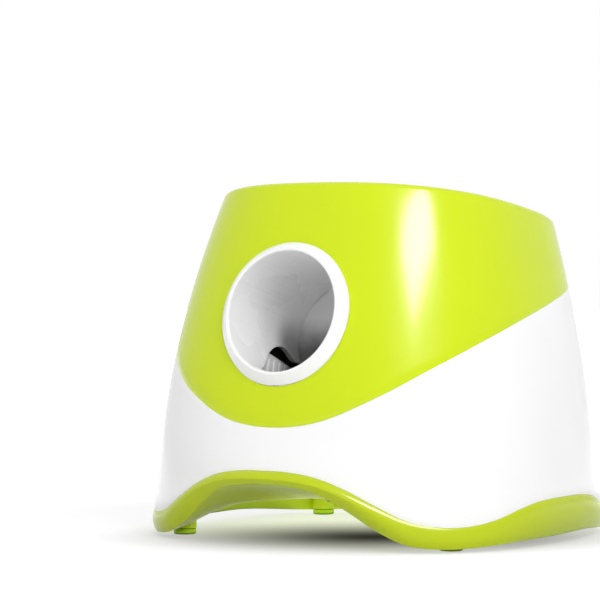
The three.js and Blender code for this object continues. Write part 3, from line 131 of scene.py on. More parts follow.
def flare_at(turn, z, inset):
    down = smooth((BODY["flare_top"] - z) / (BODY["flare_top"] - BODY["flare_full"]))
    return BODY["flare"] * front_share(turn) * down * max(0.0, 1 - max(0.0, inset) / (SCOOP / 2))


def skin(turn, z, inset):
    """Point of the skin at a turn from the front, moved in by an inset."""
    half_x, half_y, mid_y = section(z)
    return (max(0.0, half_x - inset) * powered(math.sin(turn)),
            mid_y - max(0.0, half_y - inset) * powered(math.cos(turn)) - flare_at(turn, z, inset), z)


def rim_height(turn):
    z = BODY["rim"]
    for _ in range(6):
        z = BODY["rim"] - RIM_SLOPE * (skin(turn, z, 0)[1] - BODY["mid_y"])
    return z


def seam_height(turn):
    return BODY["rim"] * from_table(SEAM, plan_angle(turn))


def band_top(turn):
    return ARCH_TOP * from_table(BAND_TOP, plan_angle(turn))


def band_low(turn):
    return ARCH_TOP * from_table(BAND_LOW, plan_angle(turn))


# The launch frame: x across, y along the tube inwards, z up from its axis
LAUNCH = Matrix.Translation((0, MUZZLE[0] * MM, MUZZLE[1] * MM)) @ Matrix.Rotation(-TILT, 4, "X")
print("rim", round(rim_height(0), 1), "to", round(rim_height(math.pi), 1), "mm")

# %% [markdown]
# ## Mesh tools
# Skins are lofts: an outline at each turn, joined round the body. Round pieces are turned outlines whose
# corners are softened first, and flat pieces are softened outlines with depth and a small bevel.


# %% Mesh tools
def new_object(name, data):
    obj = bpy.data.objects.new(name, data)
    bpy.context.scene.collection.objects.link(obj)
    return obj


def mesh_object(name, points, faces, matrix=None):
    mesh = bpy.data.meshes.new(name)
    mesh.from_pydata([[c * MM for c in p] for p in points], [], faces)
    if matrix is not None:
        mesh.transform(matrix)
    return new_object(name, mesh)


def tidy(obj, angle=35):
    """Outward normals, smooth shading, sharp edges where the surface really turns."""
    bm = bmesh.new()
    bm.from_mesh(obj.data)
    bmesh.ops.remove_doubles(bm, verts=bm.verts, dist=1e-6)
    bmesh.ops.recalc_face_normals(bm, faces=bm.faces)
    bm.to_mesh(obj.data)
    bm.free()
    obj.data.polygons.foreach_set("use_smooth", [True] * len(obj.data.polygons))
    obj.data.set_sharp_from_angle(angle=math.radians(angle))
    return obj


def joined(name, rows, matrix=None, closed=True, capped=False):
    """Outlines joined each to the next. The last joins the first, or both ends are capped."""
    count, last = len(rows[0]), len(rows) - 1
    faces = [tuple(range(i * count, (i + 1) * count)) for i in (0, last)] if capped else []
    for i in range(last if capped else last + 1):
        a, b = i * count, (i + 1) % len(rows) * count
        for j in range(count if closed else count - 1):
            k = (j + 1) % count
            faces.append((a + j, a + k, b + k, b + j))
    return mesh_object(name, [p for row in rows for p in row], faces, matrix)


def loft(name, station, sides=240, matrix=None):
    """Closed outline at each turn, joined round the body."""
    return joined(name, [station(2 * math.pi * i / sides) for i in range(sides)], matrix)


def softened(outline, radius, steps=3, closed=True):
    """The outline with each corner turned into a small curve."""
    count = len(outline)
    out = []
    for i, corner in enumerate(outline):
        if not closed and i in (0, count - 1):
            out.append(corner)
            continue
        before, after = outline[i - 1], outline[(i + 1) % count]
        ends = []
        for other in (before, after):
            reach = math.dist(corner, other)
            share = min(radius, reach * 0.45) / reach if reach else 0
            ends.append([lerp(c, o, share) for c, o in zip(corner, other)])
        for k in range(steps + 1):
            t = k / steps
            out.append([(1 - t) ** 2 * a + 2 * t * (1 - t) * c + t * t * b
                        for a, c, b in zip(ends[0], corner, ends[1])])
    return out


def turned(name, outline, axis="Y", centre=(0, 0, 0), matrix=None, sides=64, soft=0.3):
    """Outline of (radius, along) pairs turned about an axis; it ends on the axis or closes on itself."""
    closed = outline[0][0] > 0
    outline = softened(outline, soft, closed=closed) if soft else outline
    rows = []
    for i in range(sides):
        a = 2 * math.pi * i / sides
        row = [{"Y": (r * math.cos(a), s, r * math.sin(a)), "Z": (r * math.cos(a), r * math.sin(a), s),
                "X": (s, r * math.cos(a), r * math.sin(a))}[axis] for r, s in outline]
        rows.append([[c + o for c, o in zip(p, centre)] for p in row])
    return tidy(joined(name, rows, matrix, closed))


def rod(name, radius, low, high, *place, **more):
    """Solid cylinder from low to high along its axis."""
    return turned(name, [(0, low), (radius, low), (radius, high), (0, high)], *place, **more)


def prism(name, outline, low, high, plane="YZ", matrix=None, bevel=0.3):
    """Flat outline with depth: in the YZ plane it has depth along X, in XZ along Y, in XY along Z."""
    place = {"YZ": lambda u, v, d: (d, u, v), "XZ": lambda u, v, d: (u, d, v),
             "XY": lambda u, v, d: (u, v, d)}[plane]
    rows = [[place(u, v, d) for u, v in outline] for d in (low, high)]
    obj = tidy(joined(name, rows, matrix, capped=True))
    return softly(obj, bevel) if bevel else obj


def block(name, low, high, matrix=None, bevel=0.3):
    """Box between two corners."""
    outline = [(low[0], low[1]), (high[0], low[1]), (high[0], high[1]), (low[0], high[1])]
    return prism(name, outline, low[2], high[2], "XY", matrix, bevel)


def span(side, near, far):
    """The two ends of a stretch on one side of the middle, the lower one first."""
    return sorted((side * near, side * far))


def pair(name, xs, ys, zs, *place, **more):
    """The same box on both sides of the middle."""
    return [block(name, (x0, ys[0], zs[0]), (x1, ys[1], zs[1]), *place, **more)
            for x0, x1 in (span(side, *xs) for side in (-1, 1))]


print("outline tools ready")


# %% Cutting and finishing
def evaluated(obj):
    """Mesh of the object as it stands, with its curve or modifiers worked out."""
    return bpy.data.meshes.new_from_object(obj.evaluated_get(bpy.context.evaluated_depsgraph_get()))


def settle(obj):
    """Applies the modifiers to the mesh."""
    mesh = evaluated(obj)
    obj.modifiers.clear()
    obj.data = mesh
    return tidy(obj)


def bevelled(obj, width, angle):
    """A small bevel on the edges that turn by more than the angle."""
    edge = obj.modifiers.new("edge", "BEVEL")
    edge.width = width * MM
    edge.segments = 2
    edge.limit_method = "ANGLE"
    edge.angle_limit = math.radians(angle)
    return obj


def softly(obj, width, angle=40):
    """Small rounds on the edges that really turn."""
    return settle(bevelled(obj, width, angle))


def carve(obj, *cutters, operation="DIFFERENCE"):
    """Cuts other objects out of this one, or joins or trims it by them, and removes them."""
    for cutter in cutters:
        step = obj.modifiers.new("cut", "BOOLEAN")
        step.object = cutter
        step.operation = operation
        step.solver = "EXACT"
        settle(obj)
        bpy.data.objects.remove(cutter)
    return obj


def merged(name, *objs):
    """One object from several."""
    bm = bmesh.new()
    for obj in objs:
        bm.from_mesh(obj.data)
        bpy.data.objects.remove(obj)
    mesh = bpy.data.meshes.new(name)
    bm.to_mesh(mesh)
    bm.free()
    return tidy(new_object(name, mesh))


def paint(obj, material):
    obj.data.materials.clear()
    obj.data.materials.append(material)


def finish_piece(obj, material, slot, *nodes, body="launcher_body"):
    """Gives a piece its material and body, and hides the solids that it stands for."""
    paint(obj, material)
    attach(obj, body)
    if nodes:
        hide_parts(*nodes)
    print(obj.name, "faces:", len(obj.data.polygons))


print("cutting tools ready")

# %% [markdown]
# ## Materials
# Moulded plastic is never quite even: its gloss changes a little over a hand's width, and its surface has a
# faint ripple from the mould. One node group makes both, and every plastic uses it at its own strength.


# %% Shared surface detail
def feed(tree, node, inputs):
    """Give a node's inputs their values, or link them to other sockets."""
    for label, value in inputs.items():
        if isinstance(value, bpy.types.NodeSocket):
            tree.links.new(value, node.inputs[label])
        else:
            node.inputs[label].default_value = value
    return node


def add(tree, kind, inputs=None, out=0, **settings):
    """New shader node with its settings and inputs; returns one of its outputs."""
    node = tree.nodes.new("ShaderNode" + kind)
    for key, value in settings.items():
        setattr(node, key, value)
    return feed(tree, node, inputs or {}).outputs[out]


def map_range(tree, source, low, high, first=0, last=1, easing="LINEAR"):
    """The source's range from low to high, stretched to run from first to last."""
    return add(tree, "MapRange", {"Value": source, "From Min": low, "From Max": high, "To Min": first,
                                  "To Max": last}, "Result", interpolation_type=easing)


def new_group(name, inputs, outputs):
    group = bpy.data.node_groups.new(name, "ShaderNodeTree")
    for label, kind, value in inputs:
        socket = group.interface.new_socket(label, in_out="INPUT", socket_type=kind)
        if value is not None:
            socket.default_value = value
    for label, kind in outputs:
        group.interface.new_socket(label, in_out="OUTPUT", socket_type=kind)
    return group, group.nodes.new("NodeGroupInput"), group.nodes.new("NodeGroupOutput")


FLOAT, COLOUR, VECTOR = "NodeSocketFloat", "NodeSocketColor", "NodeSocketVector"
RIPPLE = 0.0002


def moulded_group():
    """Even colour with a slight drift, a roughness that wanders, and a fine ripple as a normal."""
    group, inside, outside = new_group(
        "moulded surface",
        [("Colour", COLOUR, None), ("Drift", FLOAT, 0.03), ("Roughness", FLOAT, 0.2), ("Wander", FLOAT, 0.06),
         ("Grain size", FLOAT, 1.2), ("Grain depth", FLOAT, 0.02)],
        [("Colour", COLOUR), ("Roughness", FLOAT), ("Normal", VECTOR)])
    place = add(group, "TexCoord", out="Object")
    broad = add(group, "TexNoise", {"Scale": 22, "Detail": 3, "Vector": place}, "Fac")
    spread = map_range(group, broad, 0.3, 0.7, -1, 1)
    drift = add(group, "Math", {0: spread, 1: inside.outputs["Drift"], 2: 1}, operation="MULTIPLY_ADD")
    tone = add(group, "HueSaturation", {"Color": inside.outputs["Colour"], "Value": drift}, "Color")
    wander = add(group, "Math", {0: spread, 1: inside.outputs["Wander"], 2: inside.outputs["Roughness"]},
                 operation="MULTIPLY_ADD")
    pitch = add(group, "Math", {0: 1 / MM, 1: inside.outputs["Grain size"]}, operation="DIVIDE")
    grain = add(group, "TexNoise", {"Detail": 2, "Vector": place, "Scale": pitch}, "Fac")
    depth = inside.outputs["Grain depth"]
    bump = add(group, "Bump", {"Distance": RIPPLE, "Height": grain, "Strength": depth}, "Normal")
    feed(group, outside, {"Colour": tone, "Roughness": wander, "Normal": bump})
    return group


MOULDED = moulded_group()


def new_material(name):
    """A material, its nodes and its Principled shader."""
    mat = bpy.data.materials.new(name)
    mat.use_nodes = True
    return mat, mat.node_tree, mat.node_tree.nodes["Principled BSDF"]


def material(name, colour, roughness, drift=0.01, wander=0.04, grain=1.5, depth=0.02, metallic=0.0, coat=0.0,
             scatter=0.0, gloss=0.5):
    """A Principled material whose colour, roughness and normal come from the shared group."""
    mat, tree, shader = new_material(name)
    detail = add(tree, "Group", {"Colour": (*colour, 1), "Drift": drift, "Roughness": roughness,
                                 "Wander": wander, "Grain size": grain, "Grain depth": depth},
                 node_tree=MOULDED).node.outputs
    feed(tree, shader, {"Base Color": detail["Colour"], "Roughness": detail["Roughness"],
                        "Normal": detail["Normal"], "Metallic": metallic, "Specular IOR Level": gloss,
                        "Coat Weight": coat, "Coat Roughness": 0.06})
    if scatter:
        feed(tree, shader, {"Subsurface Weight": scatter, "Subsurface Radius": (0.8, 0.9, 0.3),
                            "Subsurface Scale": 0.002})
    return mat


GREEN = material("lime gloss plastic", (0.59, 0.73, 0.004), 0.20, wander=0.02, coat=0.05, gloss=0.28)
# A darker copy of the lime plastic: painted shade on the base band and the battery door, which lie low and
# face down
SHADED_GREEN = material("lime plastic, painted shade", (0.49, 0.60, 0.004), 0.22, wander=0.02, coat=0.05,
                      gloss=0.28)
WHITE = material("white gloss plastic", (0.9, 0.9, 0.9), 0.24, drift=0.006, wander=0.03, coat=0.15)
PALE = material("pale bore plastic", (0.9, 0.9, 0.9), 0.28, wander=0.02, grain=2.5, depth=0.01)
ARM = material("white inner plastic", (0.80, 0.80, 0.80), 0.3, wander=0.03)
GREY = material("grey fine-textured plastic", (0.25, 0.27, 0.28), 0.5, drift=0.04, grain=0.6, depth=0.25)
DARK = material("black fine-textured plastic", (0.012, 0.013, 0.014), 0.5, drift=0.1, grain=0.5, depth=0.3)
RUBBER = material("black rubber", (0.02, 0.02, 0.022), 0.75, drift=0.15, wander=0.08, grain=0.8, depth=0.35)
PAD = material("lime rubber", (0.42, 0.62, 0.01), 0.62, drift=0.06, wander=0.08, grain=0.8, depth=0.3)
STEEL = material("zinc-plated steel", (0.62, 0.63, 0.65), 0.3, drift=0.05, wander=0.08, grain=0.5, depth=0.15,
                 metallic=1)
WIRE = material("spring wire", (0.5, 0.51, 0.53), 0.26, drift=0.08, wander=0.06, grain=0.3, depth=0.2,
                metallic=1)
BRASS = material("turned brass", (0.75, 0.52, 0.19), 0.28, drift=0.05, wander=0.06, grain=0.4, depth=0.2,
                 metallic=1)
ACETAL = material("natural acetal", (0.82, 0.79, 0.7), 0.4, drift=0.03, grain=1.0, depth=0.08, scatter=0.15)
WRAP = material("cell shrink wrap", (0.03, 0.035, 0.045), 0.3, drift=0.1, wander=0.08, grain=2.0, depth=0.1)


# Painted shade deep in the tube: its ragged edge, how high it fades, and where along the tube it starts and
# is full
DEEP_SHADE_SIZE = dict(ragged=14, up=21, start=44, full=60)


def deep_shade_group():
    """Painted shade: a soft grey darkening low and deep in the tube, in front of the piston."""
    group, inside, outside = new_group("painted deep shade", [("Colour", COLOUR, None), ("Painted shade", COLOUR, None)],
                                       [("Colour", COLOUR)])
    place = add(group, "TexCoord", out="Object")
    muzzle = (0, MUZZLE[0] * MM, MUZZLE[1] * MM)
    launch = add(group, "Mapping", {"Location": muzzle, "Rotation": (-TILT, 0, 0), "Vector": place},
                 vector_type="TEXTURE")
    up = add(group, "SeparateXYZ", {"Vector": launch}, "Z")
    along = up.node.outputs["Y"]
    wobble = add(group, "TexNoise", {"Scale": 60, "Detail": 4, "Vector": place}, "Fac")
    ragged = add(group, "Math", {0: wobble, 1: DEEP_SHADE_SIZE["ragged"] * MM, 2: up}, operation="MULTIPLY_ADD")
    low = map_range(group, ragged, 0, DEEP_SHADE_SIZE["up"] * MM, 1, 0, "SMOOTHSTEP")
    deep = map_range(group, along, DEEP_SHADE_SIZE["start"] * MM, DEEP_SHADE_SIZE["full"] * MM, 0, 1, "SMOOTHSTEP")
    both = add(group, "Math", {0: low, 1: deep}, operation="MULTIPLY")
    shade = add(group, "Mix", {"Factor": both, "A": inside.outputs["Colour"], "B": inside.outputs["Painted shade"]},
                "Result", data_type="RGBA")
    feed(group, outside, {"Colour": shade})
    return group


DEEP_SHADE = deep_shade_group()


def add_deep_shade(mat, mark):
    """Place the painted shade deep in the tube under a material's own colour."""
    tree = mat.node_tree
    detail = next(n for n in tree.nodes if n.type == "GROUP")
    own = detail.inputs["Colour"].default_value
    # mark is the grey of the painted shade
    deep_shade_node = add(tree, "Group", {"Colour": own, "Painted shade": (mark, mark, mark, 1)}, node_tree=DEEP_SHADE)
    feed(tree, detail, {"Colour": deep_shade_node})


def board_material():
    """Green solder mask over lighter copper tracks."""
    mat = material("circuit board", (0.01, 0.09, 0.03), 0.35, drift=0.1, grain=0.5, depth=0.1)
    tree = mat.node_tree
    place = add(tree, "TexCoord", out="Object")
    flat = add(tree, "Mapping", {"Rotation": (math.pi / 2, 0, 0), "Vector": place})
    tracks = add(tree, "TexBrick", {"Scale": 160, "Color1": (0.01, 0.09, 0.03, 1), "Mortar Size": 0.03,
                                    "Color2": (0.012, 0.12, 0.04, 1), "Mortar": (0.05, 0.22, 0.07, 1),
                                    "Vector": flat}, "Color")
    feed(tree, next(n for n in tree.nodes if n.type == "GROUP"), {"Colour": tracks})
    return mat


def lens_material():
    """Clear plastic with a milky haze."""
    mat, tree, shader = new_material("clear light pipe")
    place = add(tree, "TexCoord", out="Object")
    haze = add(tree, "TexNoise", {"Scale": 300, "Vector": place}, "Fac")
    milk = tree.nodes.new("ShaderNodeValToRGB")
    milk.color_ramp.elements[0].color = (0.75, 0.85, 0.9, 1)
    milk.color_ramp.elements[1].color = (0.9, 0.95, 1, 1)
    feed(tree, milk, {"Fac": haze})
    rough = map_range(tree, haze, 0, 1, 0.12, 0.3)
    feed(tree, shader, {"Transmission Weight": 0.75, "Base Color": milk.outputs["Color"], "Roughness": rough})
    return mat


# Painted shade low and deep in the tube, on the bore's wall and on the piston's face
add_deep_shade(PALE, 0.3)
add_deep_shade(ARM, 0.13)
BOARD = board_material()
LENS = lens_material()
print("materials:", len(bpy.data.materials))

# %% [markdown]
# ## Upper shell
# The green half is a loft of the skin from the seam to a rolled rim, with a ledge inside the rim for the
# bowl. Its lower edge has a small round, so that the seam reads as a fine shadow line. The muzzle's hole is
# cut afterwards, square to the tube.

# %% Upper shell
ROLL = 2.2
SEAM_LINE = 0.02
EDGE = 0.14
RIM_WIDTH = 7.0
# How far down and in the rim's inner edge and the bowl's ledge lie
RIM_SHELF = [(0, RIM_WIDTH - 0.8), (0.25, RIM_WIDTH - 0.22), (0.8, RIM_WIDTH), (3, RIM_WIDTH), (3, 10),
             (5.5, 10)]
LEDGE_FOOT = 11.5
BOSS_R, BOSS_IN, BOSS_TALL = 3.8, (9, 5.8), 8


def edge_round(turn, z, upward):
    """Small round from an edge at z out to the skin."""
    steps = ((0, 1), (0.29, 0.29), (1, 0))
    return [skin(turn, z + upward * rise * EDGE, inset * EDGE) for rise, inset in steps]


def upper_station(turn):
    low = seam_height(turn) + SEAM_LINE
    top = rim_height(turn)
    points = edge_round(turn, low, 1)
    points += [skin(turn, lerp(low, top - ROLL, k / 14), 0) for k in range(1, 15)]
    for k in range(1, 9):
        a = k / 8 * math.pi / 2
        points.append(skin(turn, top - ROLL * (1 - math.sin(a)), ROLL * (1 - math.cos(a))))
    points += [skin(turn, top - down, inset) for down, inset in RIM_SHELF]
    return points + [skin(turn, lerp(top - LEDGE_FOOT, low, k / 5), BODY["wall"]) for k in range(6)]


def lug(turn, low, high):
    """Round screw boss with a web into the wall."""
    places = [(*skin(turn, (low + high) / 2, inset)[:2], 0) for inset in BOSS_IN]
    return merged("lug", *[rod("lug", BOSS_R, low, high, "Z", place, sides=32, soft=0.2) for place in places])


upper = tidy(loft("upper_shell_skin", upper_station))
carve(upper, rod("cutter", NECK_R + FIT, -20, 24, matrix=LAUNCH, sides=128, soft=0))
seams = [(0, seam_height(0)), (math.pi, seam_height(math.pi))]
upper = merged("upper_shell_skin", upper, *[lug(turn, z + FIT, z + BOSS_TALL) for turn, z in seams])
finish_piece(upper, GREEN, "green_gloss", "upper_shell")

# %% [markdown]
# ## Lower shell
# The white half fills the space between the band and the seam. Both of its edges are rounded. The rear
# window and the socket's hole are cut through the wall.

# %% Lower shell
PANEL = dict(half=39.0, low=83.0, high=113.0, mid=98.0)
REAR_CUT = (60, 150)
SCREW_TURNS = [math.radians(degrees) for degrees in (-165, -62, 62, 165)]
BOSS_GAP = 3.8


def lower_station(turn):
    low = band_top(turn) + SEAM_LINE
    top = seam_height(turn) - SEAM_LINE
    points = edge_round(turn, low, 1)
    points += [skin(turn, lerp(low + EDGE, top - EDGE, k / 16), 0) for k in range(1, 16)]
    points += reversed(edge_round(turn, top, -1))
    return points + [skin(turn, lerp(top, low, k / 6), BODY["wall"]) for k in range(7)]


def rear_y(x, z, inset):
    """Y of the rear skin at a place, moved in by an inset."""
    half_x, half_y, mid_y = section(z)
    return mid_y + (half_y - inset) * (1 - (abs(x) / (half_x - inset)) ** POWER) ** (1 / POWER)


def rounded_box(x0, x1, z0, z1, radius):
    return softened([(x0, z0), (x1, z0), (x1, z1), (x0, z1)], radius, steps=6)


JACK_TURN, JACK_Z = math.radians(-160), 45
spot = Vector(skin(JACK_TURN, JACK_Z, 0))
along = (Vector(skin(JACK_TURN + math.radians(1), JACK_Z, 0)) - spot).normalized()
upward = (Vector(skin(JACK_TURN, JACK_Z + 11, 0)) - spot).normalized()
outward = along.cross(upward).normalized()
outward = outward if outward.y > 0 else -outward
sideways = outward.cross(upward)
JACK = Matrix.Translation(spot * MM) @ Matrix((sideways, outward, upward)).transposed().to_4x4()

lower = tidy(loft("lower_shell_skin", lower_station))
window = rounded_box(-PANEL["half"], PANEL["half"], PANEL["low"], PANEL["high"], 5)
jack_hole = rod("cutter", 5.5, -6, 4, matrix=JACK, soft=0)
carve(lower, prism("cutter", window, *REAR_CUT, "XZ", bevel=0), jack_hole)
hinge_lugs = pair("lug", (3.3, 5.7), (-1.5, 4.0), (8.4, 11.6), JACK, 0.5)
lugs = [lug(turn, z - BOSS_TALL, z - FIT) for turn, z in seams]
for turn in SCREW_TURNS:
    low = max(FLOOR_UNDER + FLOOR_THICK, band_top(turn)) + BOSS_GAP
    lugs.append(lug(turn, low, low + BOSS_TALL))
lower = merged("lower_shell_skin", lower, *hinge_lugs, *lugs)
finish_piece(lower, WHITE, "white_gloss", "lower_shell")

# %% [markdown]
# ## Base
# A band runs round the foot of the body: a bright strip that slants out, a crease, and a lower face that
# leans in. It lifts into an arch at the front, where the floor sweeps down behind it like a scoop. The
# columns of the feet, the tube's posts, and the screw bosses stand on the same floor.

# %% Base
FLOOR_TOP = FLOOR_UNDER + FLOOR_THICK
BAY = dict(half_x=55.7, mid_y=66.45, half_y=24.75)
FEET = [(-82, -63.55), (82, -63.55), (-82, 77.45), (82, 77.45)]
STRIP = 4.0
SWEEP = dict(full=math.radians(50), fade=math.radians(18), reach=45.0)
# Lean of the band's lower face, every 7.5 degrees from the front
TOE = [1, 0.97, 0.88, 0.78, 0.65, 0.42, 0.33] + [0.27] * 18
SCOOP_ROWS = (1, 0.85, 0.7, 0.55, 0.4, 0.28)
EAR_ALONG, POST_X = (22.6, 128), 50
PILOT_R = 1.9
# Radius, foot and top of the column over each foot
COLUMN = (6.4, 3.3, 21.2)


def flank_share(turn):
    """1 where the floor sweeps down to the band in front, 0 where the band stands on its own."""
    return 1 - smooth((abs(plan_angle(turn)) - SWEEP["full"]) / SWEEP["fade"])


def sweep(turn, inset):
    drop = band_low(turn) - FLOOR_UNDER
    return FLOOR_UNDER + drop * (1 - smooth(inset / (SCOOP if drop > 0 else SWEEP["reach"]))) ** 1.2


def underside(turn, inset):
    return lerp(max(FLOOR_UNDER, sweep(turn, inset)), sweep(turn, inset), flank_share(turn))


def floor_above(turn, inset):
    return max(FLOOR_UNDER, sweep(turn, inset)) + FLOOR_THICK


def base_station(turn):
    top, low = band_top(turn), band_low(turn)
    front = front_share(turn)
    ledge = lerp(0.8, 3.0, front)
    crease = top - min(STRIP, (top - low) * 0.6)
    lip = 12 * from_table(LIP, plan_angle(turn))
    toe = from_table(TOE, plan_angle(turn)) * (crease - low) - ledge
    side = flank_share(turn)
    rim_top = max(top, FLOOR_TOP) + 3
    points = [(0, BODY["mid_y"], FLOOR_UNDER)]
    points += [skin(turn, underside(turn, SCOOP * s), SCOOP * s) for s in SCOOP_ROWS]
    points.append(skin(turn, underside(turn, lip + 1.5), lip + 1.5))
    for inset, rise in ((lip + 0.2, 0.3), (lip - 0.3, 0), (toe + 1.2, 0), (toe + 0.3, 0)):
        points.append(skin(turn, lerp(low + rise, sweep(turn, inset), side), inset))
    bend = lerp(2.2, 1.05, min(1, 1.8 * front))
    for k in range(9):
        s = 0.02 + 0.96 * k / 8
        points.append(skin(turn, lerp(low, crease, s), (toe + ledge) * (1 - s) ** bend - ledge))
    slant = lerp(2.6, 1.6, front)
    for k in range(9):
        t = 0.03 + 0.97 * k / 8
        points.append(skin(turn, lerp(crease, top, t), -ledge * (1 - t ** slant)))
    points += [skin(turn, top, 3.8), skin(turn, rim_top, 3.8), skin(turn, rim_top, 6.2)]
    points.append(skin(turn, floor_above(turn, lip + 1.5), 6.2))
    points += [skin(turn, floor_above(turn, SCOOP * s), SCOOP * s) for s in reversed(SCOOP_ROWS)]
    points.append((0, BODY["mid_y"], FLOOR_TOP))
    return points


def to_body(along_tube, up):
    return (MUZZLE[0] + along_tube * math.cos(TILT) + up * math.sin(TILT),
            MUZZLE[1] - along_tube * math.sin(TILT) + up * math.cos(TILT))


base = tidy(loft("base_skin", base_station, sides=288), 40)
base_screws = [skin(turn, FLOOR_TOP + 3, BOSS_IN[0])[:2] for turn in SCREW_TURNS]
gear_screws = [(x, y) for x in (-13.9, 24.5) for y in (-5.27, -23.75)]
cutters = [block("cutter", (-BAY["half_x"] - FIT, BAY["mid_y"] - BAY["half_y"] - FIT, 10),
                 (BAY["half_x"] + FIT, BAY["mid_y"] + BAY["half_y"] + FIT, 30), bevel=0)]
for x, y in gear_screws + base_screws:
    cutters.append(rod("cutter", PILOT_R, 10, 40, "Z", (x, y, 0), sides=24, soft=0))
carve(base, *cutters)
extras = [rod("column", *COLUMN, "Z", (x, y, 0), sides=64, soft=0.6) for x, y in FEET]
boss = [(PILOT_R, 20), (4.5, 20), (4.5, 25.6), (PILOT_R, 25.6)]
extras += [turned("boss", boss, "Z", (x, y, 0), sides=32, soft=0.2) for x, y in base_screws]
for at in EAR_ALONG:
    y, z = to_body(at, -4)
    for x in (-POST_X, POST_X):
        extras.append(rod("post", 4.5, 21, z - 1.6, "Z", (x, y, 0), sides=32, soft=0.3))
extras += pair("door_lug", (10.3, 14.3), (92.6, 96.6), (15.7, 21.2), bevel=0.8)
base = merged("base_skin", base, *extras)
finish_piece(base, SHADED_GREEN, "green_gloss", "base_tray")

# %% [markdown]
# ## Bowl
# The bowl sits on the ledge inside the rim and narrows from the squared oval of the rim to the round
# throat. A mix of the two outlines makes the change. The fall is steep at first and then flattens.

# %% Bowl
BOWL = dict(top=10, foot=147, sheet=2.2)
BOWL_LIP = [(2.7, 7.3), (0.7, 7.3), (0.3, 7.7), (0.35, 9.4)]
THROAT_IN = [(0.4, 146.7), (0, 146.0), (0, 142.3), (0.3, 142), (BOWL["sheet"], 142)]


def bowl_station(turn):
    top = rim_height(turn)

    def mixed(inset, radius, share, z):
        """Point between the rim's outline and the round throat."""
        outer, inner = skin(turn, top, inset), (radius * math.sin(turn), THROAT_Y - radius * math.cos(turn))
        return (lerp(outer[0], inner[0], share), lerp(outer[1], inner[1], share), z)

    def fall(u):
        return lerp(top - 0.3, BOWL["foot"], 0.35 * u + 0.65 * (1 - (1 - u) ** 2))

    sheet = BOWL["sheet"]
    points = [skin(turn, top - down, inset) for down, inset in BOWL_LIP]
    for k in range(1, 25):
        u = (k / 25) ** 1.15
        points.append(mixed(BOWL["top"], THROAT_R, u, fall(u)))
    points += [mixed(BOWL["top"], THROAT_R + wider, 1, z) for wider, z in THROAT_IN]
    for k in range(10, 0, -1):
        u = k / 10
        points.append(mixed(BOWL["top"] + sheet, THROAT_R + sheet, u, fall(u) - sheet))
    points.append(skin(turn, top - 2.7, BOWL["top"] + sheet))
    return points


bowl = tidy(loft("bowl_skin", bowl_station), 50)
finish_piece(bowl, WHITE, "white_gloss", "hopper_bowl")

# %% [markdown]
# ## Muzzle ring
# A white collar of a shallow cone. It stands on the slanted skin, so its back edge is found turn by turn
# where it meets the skin. Its thin inner lip covers the end of the tube.


# %% Muzzle ring
def outside_skin(x, y, z):
    """Above 0 where a place is clear of the skin."""
    half_x, half_y, mid_y = section(z)
    return (abs(x) / (half_x + FIT)) ** POWER + (abs(y - mid_y) / (half_y + FIT)) ** POWER - 1


def skin_depth(radius, angle):
    """How far along the tube a line at this radius meets the skin."""
    low, high = -30.0, 40.0
    for _ in range(40):
        at = (low + high) / 2
        y, z = to_body(at, radius * math.sin(angle))
        if outside_skin(radius * math.cos(angle), y, z) > 0:
            low = at
        else:
            high = at
    return low


COLLAR = dict(edge=38.0, drop=0.7, proud=3.7, undercut=0.5)


def ring_station(angle):
    edge = COLLAR["edge"] - COLLAR["drop"] * math.sin(angle)
    back = edge - COLLAR["undercut"]
    face = [(34.9, 12), (34.9, 1.0), (BORE_R, 1.0), (BORE_R, 0.35), (BORE_R + 0.9, 0), (33.4, 0.05),
            (edge - 0.5, COLLAR["proud"]), (edge, COLLAR["proud"] + 0.9), (back, 30)]
    face = softened(face, 0.35, closed=False)
    row = [(r, min(s, skin_depth(r, angle)) if r > NECK_R + FIT else s) for r, s in face]
    middle, limit = (back + NECK_R) / 2, skin_depth(edge, angle)
    row += [(middle, skin_depth(middle, angle)), (NECK_R, skin_depth(NECK_R, angle)),
            (NECK_R, max(12, limit + 1)), (NECK_R, 12)]
    return [(r * math.cos(angle), s, r * math.sin(angle)) for r, s in row]


ring = tidy(loft("muzzle_collar", ring_station, 192, LAUNCH), 30)
finish_piece(ring, WHITE, "white_gloss", "muzzle_ring")

# %% [markdown]
# ## Launch tube
# A pale tube with an arched window in each side for the carriage's arms, and a round drop hole under the
# bowl. Ears carry it on the base's posts, and blocks in front anchor the springs and the rubber stop.

# %% Launch tube
SLOT_ALONG = [0, 0.05, 0.25, 0.4, 0.49, 0.62, 0.73, 0.8, 0.88, 0.95, 1]
SLOT_RISE = [0, 0.02, 0.227, 0.473, 0.66, 0.882, 0.98, 1, 0.951, 0.818, 0.729]


def slot_outline():
    """Outline of a side window: an arch in front, then a straight slot."""
    roof, last, steps = [], len(SLOT_ALONG) - 1, 44
    for k in range(steps + 1):
        spot = k / steps
        i = max(j for j in range(last) if SLOT_ALONG[j] <= spot)
        reach = SLOT_ALONG[i + 1] - SLOT_ALONG[i]
        f = (spot - SLOT_ALONG[i]) / reach
        slopes = []
        for j in (i, i + 1):
            a, b = max(j - 1, 0), min(j + 1, last)
            slopes.append((SLOT_RISE[b] - SLOT_RISE[a]) / (SLOT_ALONG[b] - SLOT_ALONG[a]) * reach)
        rise = cubic(SLOT_RISE[i], SLOT_RISE[i + 1], *slopes, f)
        roof.append((lerp(12, 64.5, spot), lerp(-28, -7.7, rise)))
    return roof + [(134, -13.2), (134, -28)]


